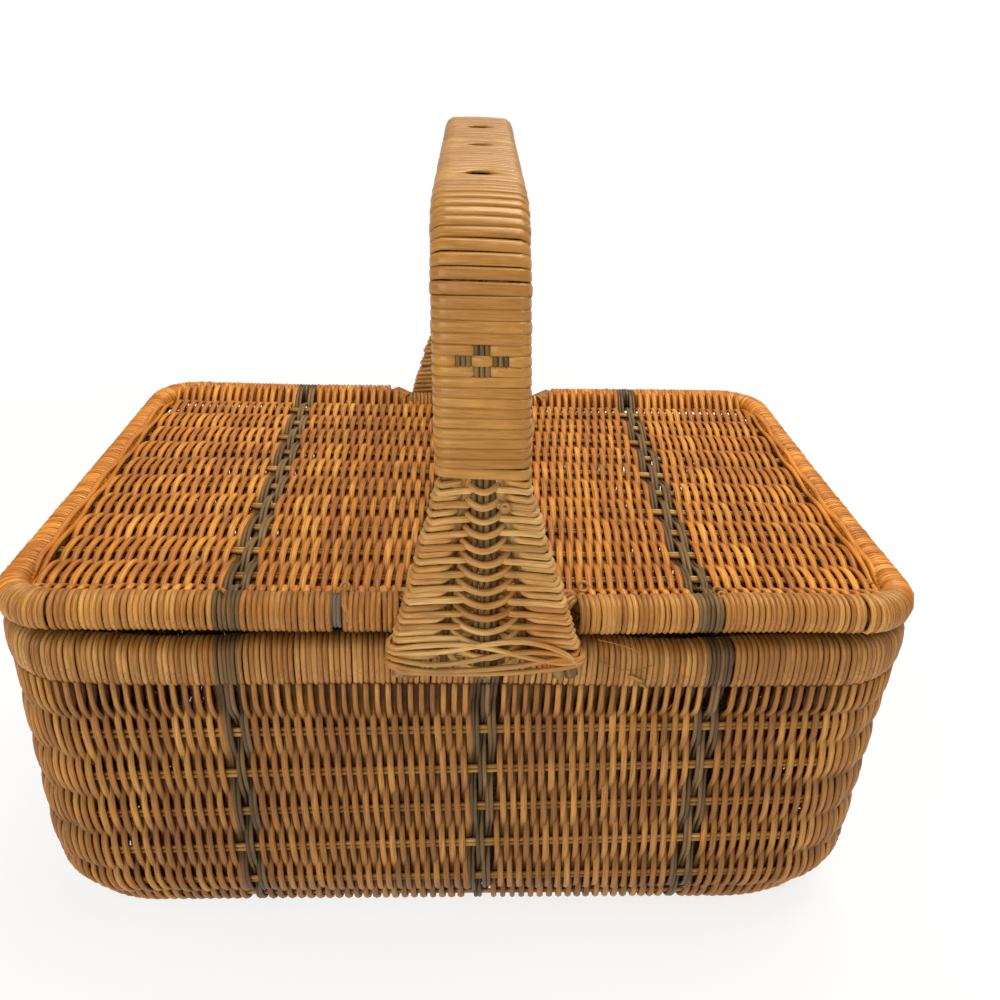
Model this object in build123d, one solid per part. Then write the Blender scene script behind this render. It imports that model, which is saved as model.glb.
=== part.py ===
from build123d import *
import os

# A lidded wicker basket: a woven tub with a bound rim, two half lids hinged on a bar across the
# middle, and a cane handle whose feet spread into woven flares outside the rim.
# X runs along the basket, Y from front to back and Z up. The origin is on the floor, straight
# below the middle of the closed lids. Millimetres.

# Lids
lid_length = 430
lid_depth = 298
lid_height = 200
lid_corner = 32
border_width = 18
border_height = 18
border_flat = 10
border_turn = 30
frame_rod = 9
notch_reach = 53
notch_slope = 10
notch_depth = 12
mat_thickness = 4
mat_reed = 7.5
mat_ridge = 1.2
lid_stake = 2.4
lid_stake_gap = 2.0
stake_spacing = 24.5
lid_stake_rows = 10

# Hinge
hinge_x = 5
hinge_bar = 10
hinge_rod = 8
hinge_rod_reach = 15
loop_wall = 2
loop_width = 9
loop_clearance = 0.4
loop_spacing = 130
loop_stagger = 15
loop_sides = 8

# Rim
rim_length = 436
rim_depth = 298
rim_corner = 42
rim_width = 18
rim_height = 28
rim_flat = 10
rim_rod = 9
rim_turn = 40
lid_seat_gap = 0.3

# Tub wall and floor
belly_length = 442
belly_depth = 284
belly_height = 45
belly_corner = 48
belly_shift = -2
neck_length = 426
neck_depth = 286
neck_corner = 38
neck_shift = 0
inset_left = 27
inset_right = 57
inset_depth = 21
wall_thickness = 5
wall_ridge = 1.5
long_reeds = 26
end_reeds = 15
corner_reeds = 2
corner_facets = 3
rounding_steps = 2
floor_thickness = 4
floor_reed = 16
floor_ridge = 1.2

# Stakes that run round the tub, and the gaps where they show in the front wall
hoop_rows = 5
hoop_top = 135
hoop_spacing = 25
hoop_height = 4.5
hoop_thickness = 2
gap_width = 2.6
gap_height = 9
gaps_per_row = 12
reeds_per_gap = 2

# Dark strands
dark_width = 12
dark_depth = 2
tub_dark_left = -107
tub_dark_middle = 11
tub_dark_right = 120

# Handle
handle_height = 384
handle_width = 39
handle_thickness = 14
handle_end_width = 28
handle_turn = 13
handle_pinch = 0.7
cane_width = 9
cane_thickness = 8
foot_height = 176
knee_height = 262
knee_lap = 0.3
knee_bend = 9
shoulder_reach = 134
shoulder_radius = 38
knee_radius = 90
crown_rise = 4
crown_radius = 300
arc_step = 16
front_foot_x = 10
back_foot_x = 2
front_top_x = 3
back_top_x = 7

# Flares
flare_bottom = 186
flare_width = 89
flare_thickness = 10
flare_rows = 11
flare_skin = 1
flare_ridge = 1.2
flare_seat_gap = 0.3
rib_window = 10
lashing_strands = 3

# Small openings and inlays in the handle's binding
slit_width = 15
slit_length = 4.5
slit_depth = 3
slit_spacing = 48
slit_centre = 28
inlay_height = 316
inlay_block = 6
inlay_row = 6
inlay_step = 7
inlay_depth = 1.5

half_lid = lid_depth / 2
half_rim = rim_depth / 2
border_line = half_lid - border_width / 2
lid_underside = lid_height - border_height / 2
rim_top = lid_underside - lid_seat_gap
rim_middle = rim_top - rim_height / 2
wall_top = rim_top - rim_height
foot_y = half_rim + flare_seat_gap + flare_thickness / 2
crown_height = handle_height - handle_thickness / 2
far = 2 * lid_length


def bound_outline(width, height, flat):
    """Six-sided section of a bound rod, flat on top and underneath."""
    points = [
        (-height / 2, -flat / 2),
        (0, -width / 2),
        (height / 2, -flat / 2),
        (height / 2, flat / 2),
        (0, width / 2),
        (-height / 2, flat / 2),
    ]
    return Polygon(*points, align=None)


def level_plane(point, direction):
    """Section plane of a level rod, with its own x axis pointing up."""
    return Plane(origin=point, x_dir=(0, 0, 1), z_dir=direction)


def stations(path, arc_spans):
    """Places along a path where a rod needs a section: line ends and steps round the arcs."""
    places = []
    for edge in path.order_edges():
        spans = 1 if edge.geom_type == GeomType.LINE else arc_spans
        for step in range(spans):
            places.append((edge @ (step / spans), edge % (step / spans)))
    places.append((edge @ 1, edge % 1))
    return places


def level_rod(path, outline, arc_spans=3):
    """A rod bent in a level plane."""
    sections = [level_plane(point, way) * outline for point, way in stations(path, arc_spans)]
    return loft(sections, ruled=True)


def level_binding(path, outline, turn, pinch=0.9):
    """Reed turns round a level rod: full at each turn and pinched in between."""
    turns = max(1, round(path.length / turn))
    sections = []
    for half_turn in range(2 * turns + 1):
        place = half_turn / (2 * turns)
        size = pinch if half_turn % 2 else 1
        sections.append(level_plane(path @ place, path % place) * scale(outline, by=size))
    return loft(sections, ruled=True)


def half_ring(length, depth, corner, height, side):
    """Half of a rounded rectangle, from the middle of the front round one end to the back."""
    x = side * length / 2
    y = depth / 2
    points = [(0, -y, height), (x, -y, height), (x, y, height), (0, y, height)]
    return FilletPolyline(*points, radius=corner).wire()


def facet_circle(radius):
    """A circle drawn with a few flats, its flats at the given radius."""
    return RegularPolygon(radius, loop_sides, major_radius=False, rotation=180 / loop_sides)


def hinge_loop(side, y):
    """A cane loop that hangs a lid's inner rod on the hinge bar."""
    bar_hole = hinge_bar / 2 + loop_clearance
    rod_x = side * hinge_rod_reach
    rod_end = Pos(rod_x, 0) * facet_circle(hinge_rod / 2 + loop_wall)
    outline = make_hull((facet_circle(bar_hole + loop_wall) + rod_end).edges())
    outline -= facet_circle(bar_hole)
    outline -= Pos(rod_x, 0) * facet_circle(hinge_rod / 2)
    strap = extrude(Plane.XZ * outline, amount=loop_width / 2, both=True)
    return Pos(hinge_x, y, lid_height) * strap


def loop_places(side):
    """Where a lid's hinge loops sit along the bar."""
    return [end * loop_spacing / 2 + side * loop_stagger for end in (-1, 1)]


def dark_slot(x, y_low, y_high, z_low, z_high):
    """The space that one dark band takes up."""
    centre = (x, (y_low + y_high) / 2, (z_low + z_high) / 2)
    return Pos(*centre) * Box(dark_width, y_high - y_low, z_high - z_low)


def lid(side):
    """One half lid, as a dictionary of its pieces. It is drawn for the right and mirrored."""
    reach = lid_length / 2 - side * hinge_x
    end_line = reach - border_width / 2
    neck_line = border_line - notch_depth
    neck_end = notch_reach - notch_slope
    neck = [(neck_end, -neck_line, lid_height), (notch_reach, -border_line, lid_height)]
    turned = [(x, -y, z) for x, y, z in reversed(neck)]
    corner = lid_corner - border_width / 2
    border_points = [
        neck[1],
        (end_line, -border_line, lid_height),
        (end_line, border_line, lid_height),
        turned[0],
    ]
    border_path = FilletPolyline(*border_points, radius=corner).wire()
    rod_outline = RegularPolygon(frame_rod / 2, 6, rotation=30)
    border_rod = level_rod(border_path, rod_outline)
    front_neck = level_rod(Polyline((hinge_rod_reach, -neck_line, lid_height), *neck).wire(), rod_outline)
    back_neck = level_rod(Polyline(*turned, (hinge_rod_reach, neck_line, lid_height)).wire(), rod_outline)
    frame = border_rod + front_neck + back_neck

    border_outline = bound_outline(border_width, border_height, border_flat)
    binding = level_binding(border_path, border_outline, border_turn) - frame

    rod_face = Pos(hinge_rod_reach, -lid_height) * facet_circle(hinge_rod / 2)
    rod = extrude(Plane.XZ * Pos(0, 2 * lid_height) * rod_face, neck_line - frame_rod / 2, both=True)

    # The mat is a ridged sheet trimmed to the inside of the frame.
    inner = border_width / 2 + lid_seat_gap
    mat_start = hinge_rod_reach + hinge_rod / 2
    mat_end = end_line - inner
    mat_side = border_line - inner
    neck_side = neck_line - frame_rod / 2 - lid_seat_gap
    plan_points = [
        (mat_start, -neck_side),
        (notch_reach, -neck_side),
        (notch_reach, -mat_side),
        (mat_end, -mat_side),
        (mat_end, mat_side),
        (notch_reach, mat_side),
        (notch_reach, neck_side),
        (mat_start, neck_side),
    ]
    plan = Polygon(*plan_points, align=None)
    plan = chamfer(plan.vertices().group_by(Axis.X)[-1], lid_corner - border_width)
    trim = extrude(Pos(0, 0, lid_height - border_height) * plan, amount=2 * border_height)
    reeds = round((mat_end - mat_start) / mat_reed)
    reed = (mat_end - mat_start) / reeds
    low = lid_height - mat_thickness / 2
    high = lid_height + mat_thickness / 2
    top = [(mat_start, high)]
    for number in range(reeds):
        top.append((mat_start + (number + 0.5) * reed, high + mat_ridge))
        top.append((mat_start + (number + 1) * reed, high))
    profile = Polygon((mat_start, low), *top, (mat_end, low), align=None)
    mat = extrude(Plane.XZ * profile, amount=far, both=True) & trim

    stakes = []
    for row in range(lid_stake_rows):
        y = (row - (lid_stake_rows - 1) / 2) * stake_spacing
        for pair in (-1, 1):
            place = (
                (mat_start + mat_end) / 2,
                y + pair * (lid_stake + lid_stake_gap) / 2,
                low - lid_stake / 2,
            )
            stakes.append(Pos(*place) * Box(mat_end - mat_start, lid_stake, lid_stake))

    # The mat and its stakes stop short of the hinge loops.
    loop_spaces = []
    for y in loop_places(side):
        space = Box(
            2 * (hinge_rod / 2 + loop_wall + loop_clearance),
            loop_width + 2 * loop_clearance,
            2 * border_height,
        )
        loop_spaces.append(Pos(hinge_rod_reach, y, lid_height) * space)
    mat -= loop_spaces
    stakes = [stake - loop_spaces for stake in stakes]

    # Dark strands take the place of light ones in the mat's face and in the border's turns.
    dark_x = (notch_reach + end_line) / 2 - notch_slope
    mat_space = dark_slot(dark_x, -far, far, high - dark_depth, high + mat_ridge)
    front_space = dark_slot(dark_x, -half_lid, -border_line, 0, far)
    back_space = dark_slot(dark_x, border_line, half_lid, 0, far)
    dark_mat = mat & mat_space
    dark_front = binding & front_space
    dark_back = binding & back_space
    mat -= mat_space
    binding -= [front_space, back_space]

    pieces = {
        "frame": frame,
        "border_binding": binding,
        "hinge_rod": rod,
        "mat": mat,
        "stakes": Compound(stakes),
        "dark_strands": Compound(dark_mat.solids() + dark_front.solids() + dark_back.solids()),
    }
    placed = {}
    for name, piece in pieces.items():
        turned_piece = piece if side > 0 else mirror(piece, Plane.YZ)
        placed[name] = Pos(hinge_x, 0, 0) * turned_piece
    placed["hinge_loops"] = Compound([hinge_loop(side, y) for y in loop_places(side)])
    return placed


def wall_level(angle_share):
    """Height, length, depth, corner and shift of the tub at a step of its rounded bottom."""
    turn = Vector(1, 0).rotate(Axis.Z, 90 * angle_share)
    pulled = 1 - turn.Y
    left = belly_length / 2 - inset_left * pulled - belly_shift
    right = belly_length / 2 - inset_right * pulled + belly_shift
    depth = belly_depth - 2 * inset_depth * pulled
    height = belly_height * (1 - turn.X)
    return height, left + right, depth, belly_corner, (right - left) / 2


def wall_levels():
    """The tub's levels from the floor up to the underside of the rim."""
    levels = [wall_level(step / rounding_steps) for step in range(rounding_steps + 1)]
    levels.append((wall_top, neck_length, neck_depth, neck_corner, neck_shift))
    return levels


def plan_edges(level, inset):
    """Edges of the tub's rounded plan at one level, moved in by an inset."""
    height, length, depth, corner, shift = level
    plan = RectangleRounded(length - 2 * inset, depth - 2 * inset, corner - inset)
    return (Pos(shift, 0, height) * plan).wire().order_edges()


def smooth_outline(level, inset):
    """Plan of the tub at one level with a few flats round each corner."""
    points = []
    for edge in plan_edges(level, inset):
        count = 1 if edge.geom_type == GeomType.LINE else corner_facets
        points += [edge @ (step / count) for step in range(count)]
    return Face(Wire.make_polygon(points, close=True))


def ridged_outline(level):
    """Plan of the tub at one level with a ridge for each upright reed."""
    points = []
    for crest, valley in zip(plan_edges(level, 0), plan_edges(level, wall_ridge)):
        if crest.geom_type != GeomType.LINE:
            count = corner_reeds
        elif abs((crest % 0.5).X) > 0.5:
            count = long_reeds
        else:
            count = end_reeds
        for reed in range(count):
            points.append(crest @ (reed / count))
            points.append(valley @ ((reed + 0.5) / count))
    return Face(Wire.make_polygon(points, close=True))


def smooth_tub(inset):
    """The tub's smooth outer form moved in by an inset, as one block."""
    return loft([smooth_outline(level, inset) for level in wall_levels()], ruled=True)


def slab(low, high):
    """Everything between two heights."""
    return Pos(0, 0, (low + high) / 2) * Box(far, far, high - low)


def tub():
    """The tub's pieces: wall, floor, stakes, rim and dark strands."""
    inside = smooth_tub(wall_thickness)
    wall = loft([ridged_outline(level) for level in wall_levels()], ruled=True) - inside

    floor_block = inside & slab(0, floor_thickness)
    low = floor_block.bounding_box().min.X
    high = floor_block.bounding_box().max.X
    reeds = round((high - low) / floor_reed)
    reed = (high - low) / reeds
    top = [(low, floor_thickness - floor_ridge)]
    for number in range(reeds):
        top.append((low + (number + 0.5) * reed, floor_thickness))
        top.append((low + (number + 1) * reed, floor_thickness - floor_ridge))
    profile = Polygon((low, 0), *top, (high, 0), align=None)
    floor = floor_block & extrude(Plane.XZ * profile, amount=far, both=True)

    lining = inside - smooth_tub(wall_thickness + hoop_thickness)
    hoops = []
    gaps = []
    gap_step = reeds_per_gap * neck_length / long_reeds
    for row in range(hoop_rows):
        height = hoop_top - row * hoop_spacing
        hoops += (lining & slab(height - hoop_height / 2, height + hoop_height / 2)).solids()
        for number in range(gaps_per_row):
            x = (number - (gaps_per_row - 1) / 2) * gap_step
            gaps.append(
                Pos(x, -belly_depth / 2, height) * Box(gap_width, 2 * wall_thickness, gap_height)
            )

    rim_outline = bound_outline(rim_width, rim_height, rim_flat)
    rod_outline = RegularPolygon(rim_rod / 2, 6, rotation=30)
    rim = None
    rod = None
    for side in (-1, 1):
        line = (rim_length - rim_width, rim_depth - rim_width, rim_corner - rim_width / 2)
        path = half_ring(*line, rim_middle, side)
        half_rim_binding = level_binding(path, rim_outline, rim_turn)
        half_rod = level_rod(path, rod_outline)
        rim = half_rim_binding if rim is None else rim + half_rim_binding
        rod = half_rod if rod is None else rod + half_rod
    rim -= rod

    pieces = {
        "tub_floor": floor,
        "tub_stake_hoops": Compound(hoops),
        "tub_rim_rod": rod,
    }
    backing = smooth_tub(wall_ridge + dark_depth)
    rim_line = (rim_depth - rim_width) / 2
    places = {"left": tub_dark_left, "middle": tub_dark_middle, "right": tub_dark_right}
    for name, x in places.items():
        wall_space = dark_slot(x, -far, far, 0, wall_top) - backing
        front_space = dark_slot(x, -half_rim, -rim_line, wall_top, rim_top)
        back_space = dark_slot(x, rim_line, half_rim, wall_top, rim_top)
        dark = (wall & wall_space).solids()
        dark += (rim & front_space).solids() + (rim & back_space).solids()
        pieces["tub_dark_strands_" + name] = Compound(dark)
        wall -= wall_space
        rim -= [front_space, back_space]
        gaps = [gap for gap in gaps if abs(gap.center().X - x) > dark_width]
    pieces["tub_wall"] = wall - gaps
    pieces["tub_rim_binding"] = rim
    return pieces


def arch_path():
    """Centre line of the handle, from the front foot over the top to the back foot."""
    half = [
        (0, -foot_y, foot_height),
        (0, -foot_y, knee_height + knee_bend),
        (0, -shoulder_reach, crown_height - crown_rise),
    ]
    other = [(0, -y, z) for _, y, z in reversed(half)]
    radii = [knee_radius, shoulder_radius, crown_radius, shoulder_radius, knee_radius]
    return FilletPolyline(*half, (0, 0, crown_height), *other, radius=radii).wire()


def arch_plane(point, way):
    """Section plane of the handle: the feet and the top are a little out of line."""
    back_share = (point.Y + foot_y) / (2 * foot_y)
    top_share = (point.Z - foot_height) / (crown_height - foot_height)
    foot_x = front_foot_x + (back_foot_x - front_foot_x) * back_share
    top_x = front_top_x + (back_top_x - front_top_x) * back_share
    x = foot_x + (top_x - foot_x) * top_share
    return Plane(origin=(x, point.Y, point.Z), x_dir=(1, 0, 0), z_dir=way)


def arch_stations(path):
    """Places along the handle where its canes need a section."""
    places = []
    for edge in path.order_edges():
        spans = 1
        if edge.geom_type != GeomType.LINE:
            bend = (edge % 0).get_angle(edge % 1)
            spans = max(1, round(bend / arc_step))
        for step in range(spans):
            places.append((edge @ (step / spans), edge % (step / spans)))
    places.append((edge @ 1, edge % 1))
    return places


def cane(path, number):
    """One of the three canes inside the handle. The outer two spread apart at the feet."""
    foot_spread = (flare_width - cane_width) / 2 - flare_ridge
    sections = []
    for point, way in arch_stations(path):
        down = max(0, (knee_height - point.Z) / (knee_height - foot_height))
        spread = cane_width + (foot_spread - cane_width) * down
        outline = Pos(number * spread, 0) * Rectangle(cane_width, cane_thickness)
        sections.append(arch_plane(point, way) * outline)
    return loft(sections, ruled=True)


def handle_binding(path):
    """Flat cane bound over the handle's canes from one knee to the other."""
    full = bound_outline(handle_width, handle_thickness, handle_end_width)
    outline = Rot(0, 0, 90) * full
    straight = knee_height - foot_height
    start = straight / path.length
    turns = round((path.length - 2 * straight) / handle_turn)
    sections = []
    for half_turn in range(2 * turns + 1):
        place = start + (1 - 2 * start) * half_turn / (2 * turns)
        size = offset(outline, -handle_pinch, kind=Kind.INTERSECTION) if half_turn % 2 else outline
        sections.append(arch_plane(path @ place, path % place) * size)
    return loft(sections, ruled=True)


def flare(end):
    """Woven flare over a foot of the handle: rows of reed round the spread canes."""
    top = knee_height - knee_lap
    row = (top - flare_bottom) / flare_rows
    inner = foot_y - flare_thickness / 2
    outer = foot_y + flare_thickness / 2
    side_points = [(end * inner, flare_bottom)]
    for number in range(flare_rows):
        side_points.append((end * (outer - flare_ridge), flare_bottom + number * row))
        side_points.append((end * outer, flare_bottom + (number + 0.5) * row))
    side_points += [(end * (outer - flare_ridge), top), (end * inner, top)]
    rows = extrude(Plane.YZ * Polygon(*side_points, align=None), amount=far, both=True)
    low_x = arch_plane(Vector(0, end * foot_y, flare_bottom), Vector(0, 0, 1)).origin.X
    high_x = arch_plane(Vector(0, end * foot_y, top), Vector(0, 0, 1)).origin.X
    block = None
    for skin in (0, flare_skin):
        front_points = [
            (low_x - flare_width / 2 + skin, flare_bottom),
            (low_x + flare_width / 2 - skin, flare_bottom),
            (high_x + handle_width / 2 - skin, top),
            (high_x - handle_width / 2 + skin, top),
        ]
        upright = Plane(origin=(0, end * foot_y, 0), x_dir=(1, 0, 0), z_dir=(0, -1, 0))
        front = upright * Polygon(*front_points, align=None)
        if skin == 0:
            block = rows & extrude(front, amount=flare_thickness, both=True)
        else:
            block -= extrude(front, amount=cane_thickness / 2, both=True)
    return block


def lashing(end):
    """Loose strands that tie the foot's canes together below the flare."""
    strand = (flare_bottom - foot_height) / lashing_strands
    bars = []
    for number in range(lashing_strands):
        z = foot_height + (number + 0.5) * strand
        middle = arch_plane(Vector(0, end * foot_y, z), Vector(0, 0, 1)).origin
        bars.append(Pos(middle.X, end * foot_y, z) * Box(flare_width, flare_thickness, strand))
    return bars[0] + bars[1:]


def handle():
    """The handle's pieces: three canes, their binding, two woven flares and their lashings."""
    path = arch_path()
    canes = {"left": cane(path, -1), "middle": cane(path, 0), "right": cane(path, 1)}
    binding = handle_binding(path)
    flares = {"front": flare(-1), "back": flare(1)}
    lashings = {"front": lashing(-1), "back": lashing(1)}
    for piece in canes.values():
        binding -= piece
        for end in lashings:
            lashings[end] -= piece

    # The middle cane shows between alternate rows of each flare.
    row_height = (knee_height - knee_lap - flare_bottom) / flare_rows
    for end, way in (("front", -1), ("back", 1)):
        windows = []
        for row in range(1, flare_rows, 2):
            z = flare_bottom + (row + 0.5) * row_height
            middle = arch_plane(Vector(0, way * foot_y, z), Vector(0, 0, 1)).origin
            y = way * (foot_y + flare_thickness / 2)
            deep = 2 * (flare_thickness - cane_thickness) / 2
            windows.append(Pos(middle.X, y, z) * Box(rib_window, deep, row_height))
        flares[end] -= windows

    # Three slits along the top of the grip.
    slits = []
    for number in range(-1, 2):
        y = slit_centre + number * slit_spacing
        middle = arch_plane(Vector(0, y, crown_height), Vector(0, 1, 0)).origin
        slits.append(Pos(middle.X, y, handle_height) * Box(slit_width, slit_length, 2 * slit_depth))
    binding -= slits

    # A small diamond of dark strands on the outside of each leg.
    inlays = []
    for place, way in ((0.5 - inlay_share(path), -1), (0.5 + inlay_share(path), 1)):
        point = path @ place
        plane = arch_plane(point, path % place)
        for across, along in ((0, 1), (-1, 0), (1, 0), (0, -1)):
            block = Box(inlay_block, 2 * inlay_depth, inlay_row)
            spot = Pos(across * inlay_step, -handle_thickness / 2, along * inlay_row)
            inlays += (binding & (plane.location * spot * block)).solids()
    for inlay in inlays:
        binding -= inlay

    pieces = {"handle_binding": binding, "handle_dark_inlays": Compound(inlays)}
    for name, piece in canes.items():
        pieces["handle_cane_" + name] = piece
    for end in flares:
        pieces["flare_" + end] = flares[end]
        pieces["flare_lashing_" + end] = lashings[end]
    return pieces


def inlay_share(path):
    """How far along the handle the inlays lie from its middle, as a share of its length."""
    return 0.5 - (inlay_height - foot_height) / path.length


parts = {}
parts.update(tub())
parts.update(handle())
parts["hinge_bar"] = Pos(hinge_x, 0, lid_height) * Cylinder(
    hinge_bar / 2, rim_depth + 2 * flare_seat_gap, rotation=(90, 0, 0)
)
for side, side_name in ((-1, "left"), (1, "right")):
    for name, piece in lid(side).items():
        parts["lid_" + side_name + "_" + name] = piece

os.makedirs("parts", exist_ok=True)
for name, piece in parts.items():
    export_step(piece, "parts/" + name + ".step")
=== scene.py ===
"""The looks of a lidded wicker basket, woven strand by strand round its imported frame."""

import math

import bpy
import numpy as np
from mathutils import Matrix


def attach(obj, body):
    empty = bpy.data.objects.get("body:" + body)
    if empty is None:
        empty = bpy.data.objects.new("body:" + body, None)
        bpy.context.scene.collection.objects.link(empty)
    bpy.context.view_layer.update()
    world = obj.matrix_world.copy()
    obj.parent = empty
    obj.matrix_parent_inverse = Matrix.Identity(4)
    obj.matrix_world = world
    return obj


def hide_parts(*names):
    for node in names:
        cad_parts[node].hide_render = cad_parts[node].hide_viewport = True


bl_info = {
    "name": "Lidded wicker basket",
    "version": (1, 0, 0),
    "blender": (4, 5, 0),
    "location": "3D View > Sidebar > Basket",
    "description": "Weaves the lids, tub, rim, handle and flares of a wicker basket",
    "category": "Object",
}

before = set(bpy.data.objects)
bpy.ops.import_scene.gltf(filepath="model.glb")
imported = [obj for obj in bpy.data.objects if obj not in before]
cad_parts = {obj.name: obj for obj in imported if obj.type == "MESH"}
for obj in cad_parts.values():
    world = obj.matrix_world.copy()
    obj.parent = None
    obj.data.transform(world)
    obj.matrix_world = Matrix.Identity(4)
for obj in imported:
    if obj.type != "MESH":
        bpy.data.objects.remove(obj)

# All lengths in this file are millimetres in the shared frame, and a mesh is made in metres.
MM = 0.001
SEED = 11

# The hinge and the lids
HINGE_X = 5.0
HINGE_Z = 200.0
LID_NAMES = {-1: "lid_left", 1: "lid_right"}
LID_Z = 199.6
BORDER_Z = LID_Z + 0.4
LID_REACH = 215.0
LID_BORDER_Y = 140.0
LID_CORNER = 23.0
BORDER_HALF = 9.0
NECK_Y = 128.0
NECK_SLOPE = 10.0
NECK_ENDS = {(-1, -1): 34.0, (-1, 1): 53.0, (1, -1): 46.0, (1, 1): 56.0}
NECK_RING = 5.4
HINGE_ROD_REACH = 15.0
STAKE_ROWS = 10
STAKE_STEP = 24.5
FIRST_STAKE = -(STAKE_ROWS - 1) / 2 * STAKE_STEP
STAKE_HALF = 1.15
LID_STAKE = 2.25
LID_STEPS = 66
# The mat starts this far from the hinge rod and ends this far into the end border
MAT_GAP = 4.5
MAT_LAP = 0.6
LID_DRIFT = 0.9
LID_SAG = 0.9
LID_GAPE = 0.9
LID_BANDS = {-1: 112.5, 1: 108.0}
BAND_SLANT = 5.0
BAND_OFFSETS = (-5.0, -3.0, -1.0, 1.0, 3.0, 5.0)
BAND_PHASES = (0, 0, 1, 1, 0, 0)
BAND_REED = 2.05
SMOKED_TURN = 2.15
BAND_HALF = 6.1
END_RING = 6.0
BACK_RING = 6.6
END_SHIFT = 1.0
BARE_CORE = (-59.8, -55.0)
# One stake step past the outermost stake
OUTER_CREST = STAKE_STEP - FIRST_STAKE
CORNER_TURN = 1.9
END_TURN = 2.35
NECK_TURN = 2.4
ROD_TURN_OFFSETS = (-3.6, -1.2, 1.2, 3.6)
ROD_TURN_RADIUS = 4.9
# Where a reed starts to meet the border and where it is over it, and how far it climbs or dips
BORDER_START = 116
BORDER_TOP = 134
BORDER_CLIMB = 4.6
BORDER_DIP = -1.5
# Reeds are squashed wider than their pitch, so that neighbours touch
LID_SQUASH = 1.36
TUB_SQUASH = 1.3
# The last reeds of a lid: how far inside the end border they lie, and how high they climb
CLIMBING_REEDS = ((7.6, 3.2), (5.6, 5.6))
CLIMBING_REED = 3.3
KNOT_SIDE = (0.0, 1.0, 0.3)

# The tub and its rim
RIM_HALF_LENGTH = 209.0
RIM_HALF_DEPTH = 140.0
RIM_CORNER = 33.0
RIM_PLAN = (RIM_HALF_LENGTH, RIM_HALF_LENGTH, RIM_HALF_DEPTH, RIM_CORNER)
RIM_Z = 175.6
RIM_HALF_WIDTH = 9.0
RIM_HALF_HEIGHT = 15.2
WALL_TOP = 162.7
BELLY_Z = 45.0
ROW_STEP = 25.0
FIRST_ROW = 132.0
ROUND_START = (FIRST_ROW - BELLY_Z) / ROW_STEP
TUB_TOP_ROW = -1.3
LAST_ROW = 6.0
ROW_TILT = 0.026
WALL_STEPS = 45
CORNER_CROWDING = 0.88
# The wall's left, right, depth and corner at the belly, and what they lose at the rim and the floor
WALL_BELLY = (223.0, 219.0, 142.0, 48.0)
WALL_LOSS_ABOVE = (4.0, 1.0, -1.0, 10.0)
WALL_LOSS_BELOW = (27.0, 57.0, 25.0, 0.0)
TUB_BANDS = (-107.0, 10.5, 118.0)
TUB_BAND_REED = 2.35
TUB_STAKE = 2.3
TUB_HOOPS = 6
HOOP_STEPS = 24
STAKE_PAIR = 0.052
QUARTER = (RIM_HALF_LENGTH - RIM_CORNER, RIM_CORNER * math.pi / 2, RIM_HALF_DEPTH - RIM_CORNER)
UPRIGHT_REACH = 105.0
FLOOR_Z = 2.6
FLOOR_PITCH = 4.4
FLOOR_STAKES = 9
FLOOR_STAKE_STEP = 22.0

# The handle and its flares
FOOT_Y = 154.3
FOOT_Z = 176.0
KNEE_Z = 274.0
ARCH_POINTS = (
    (-FOOT_Y, FOOT_Z),
    (-FOOT_Y, 271.0),
    (-134.0, 371.5),
    (10.0, 377.5),
    (134.0, 383.5),
    (FOOT_Y, 271.0),
    (FOOT_Y, FOOT_Z),
)
ARCH_RADII = (90.0, 38.0, 300.0, 38.0, 90.0)
CROWN_Z = 377.0
FLARE_NAMES = {-1: "front", 1: "back"}
FOOT_X = {-1: 10.0, 1: 2.0}
TOP_X = {-1: 3.0, 1: 7.0}
HANDLE_HALF_WIDTH = 19.5
HANDLE_HALF_THICKNESS = 7.0
DIAMOND_Z = 319.5
DIAMOND_WIDE = 7.3
DIAMOND_STRANDS = (-2.1, 0.0, 2.1)
DIAMOND_REED = 2.15
SLIT_PLACES = (-74.0, 3.0, 65.0)
SLIT_PUSH = 7.0
# Inside the handle: strands under the slits, and rods and ribs as distances from the middle. The
# rods lie at the first distance above the knee, and spread out to the second at the foot.
CORE_STRANDS = (-7.5, -4.5, -1.5, 1.5, 4.5, 7.5)
HANDLE_RODS = ((9.0, 38.8), (4.6, 33.5))
HANDLE_ROD = 6.6
HANDLE_RIBS = (-3.9, -1.3, 1.3, 3.9)
FLARE_LOW = 186.0
FLARE_HALF_LOW = 44.5
FLARE_HALF_HIGH = 19.5
FLARE_ROWS = 27
FLARE_DEPTH = 3.4
FLARE_RIB = 3.4
FLARE_REED = 3.2
FLARE_STEPS = 37
TIE_SPREAD = 0.93
TIE_LIFT = 1.2
TIE_REED = 2.4
TIE_STEPS = 26

# The loose strands below each flare, as places across it and their heights
TIES = (
    (
        (-33.9, 183.8), (-26.1, 181.4), (-13.4, 180.7), (-0.2, 181.6), (12.5, 182.5),
        (25.7, 184.2), (37.1, 186.4), (47.6, 188.1), (53.0, 186.5),
    ),
    (
        (-33.0, 186.7), (-24.8, 185.2), (-12.1, 183.9), (3.6, 187.0),
        (16.3, 190.3), (31.5, 192.0), (44.8, 190.5), (52.1, 186.5),
    ),
    (
        (-32.9, 189.9), (-19.5, 190.0), (-3.0, 192.5), (12.1, 196.3),
        (26.5, 197.5), (37.9, 194.9), (47.4, 190.5), (52.9, 184.9),
    ),
    (
        (-33.5, 182.2), (-28.8, 179.8), (-12.1, 179.9), (7.3, 179.7),
        (29.4, 181.0), (45.3, 182.7), (52.3, 183.8),
    ),
    (
        (-32.5, 192.3), (-22.1, 194.0), (-3.0, 195.7), (12.2, 193.7),
        (29.1, 188.5), (45.1, 184.8), (52.2, 185.4),
    ),
)

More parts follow.
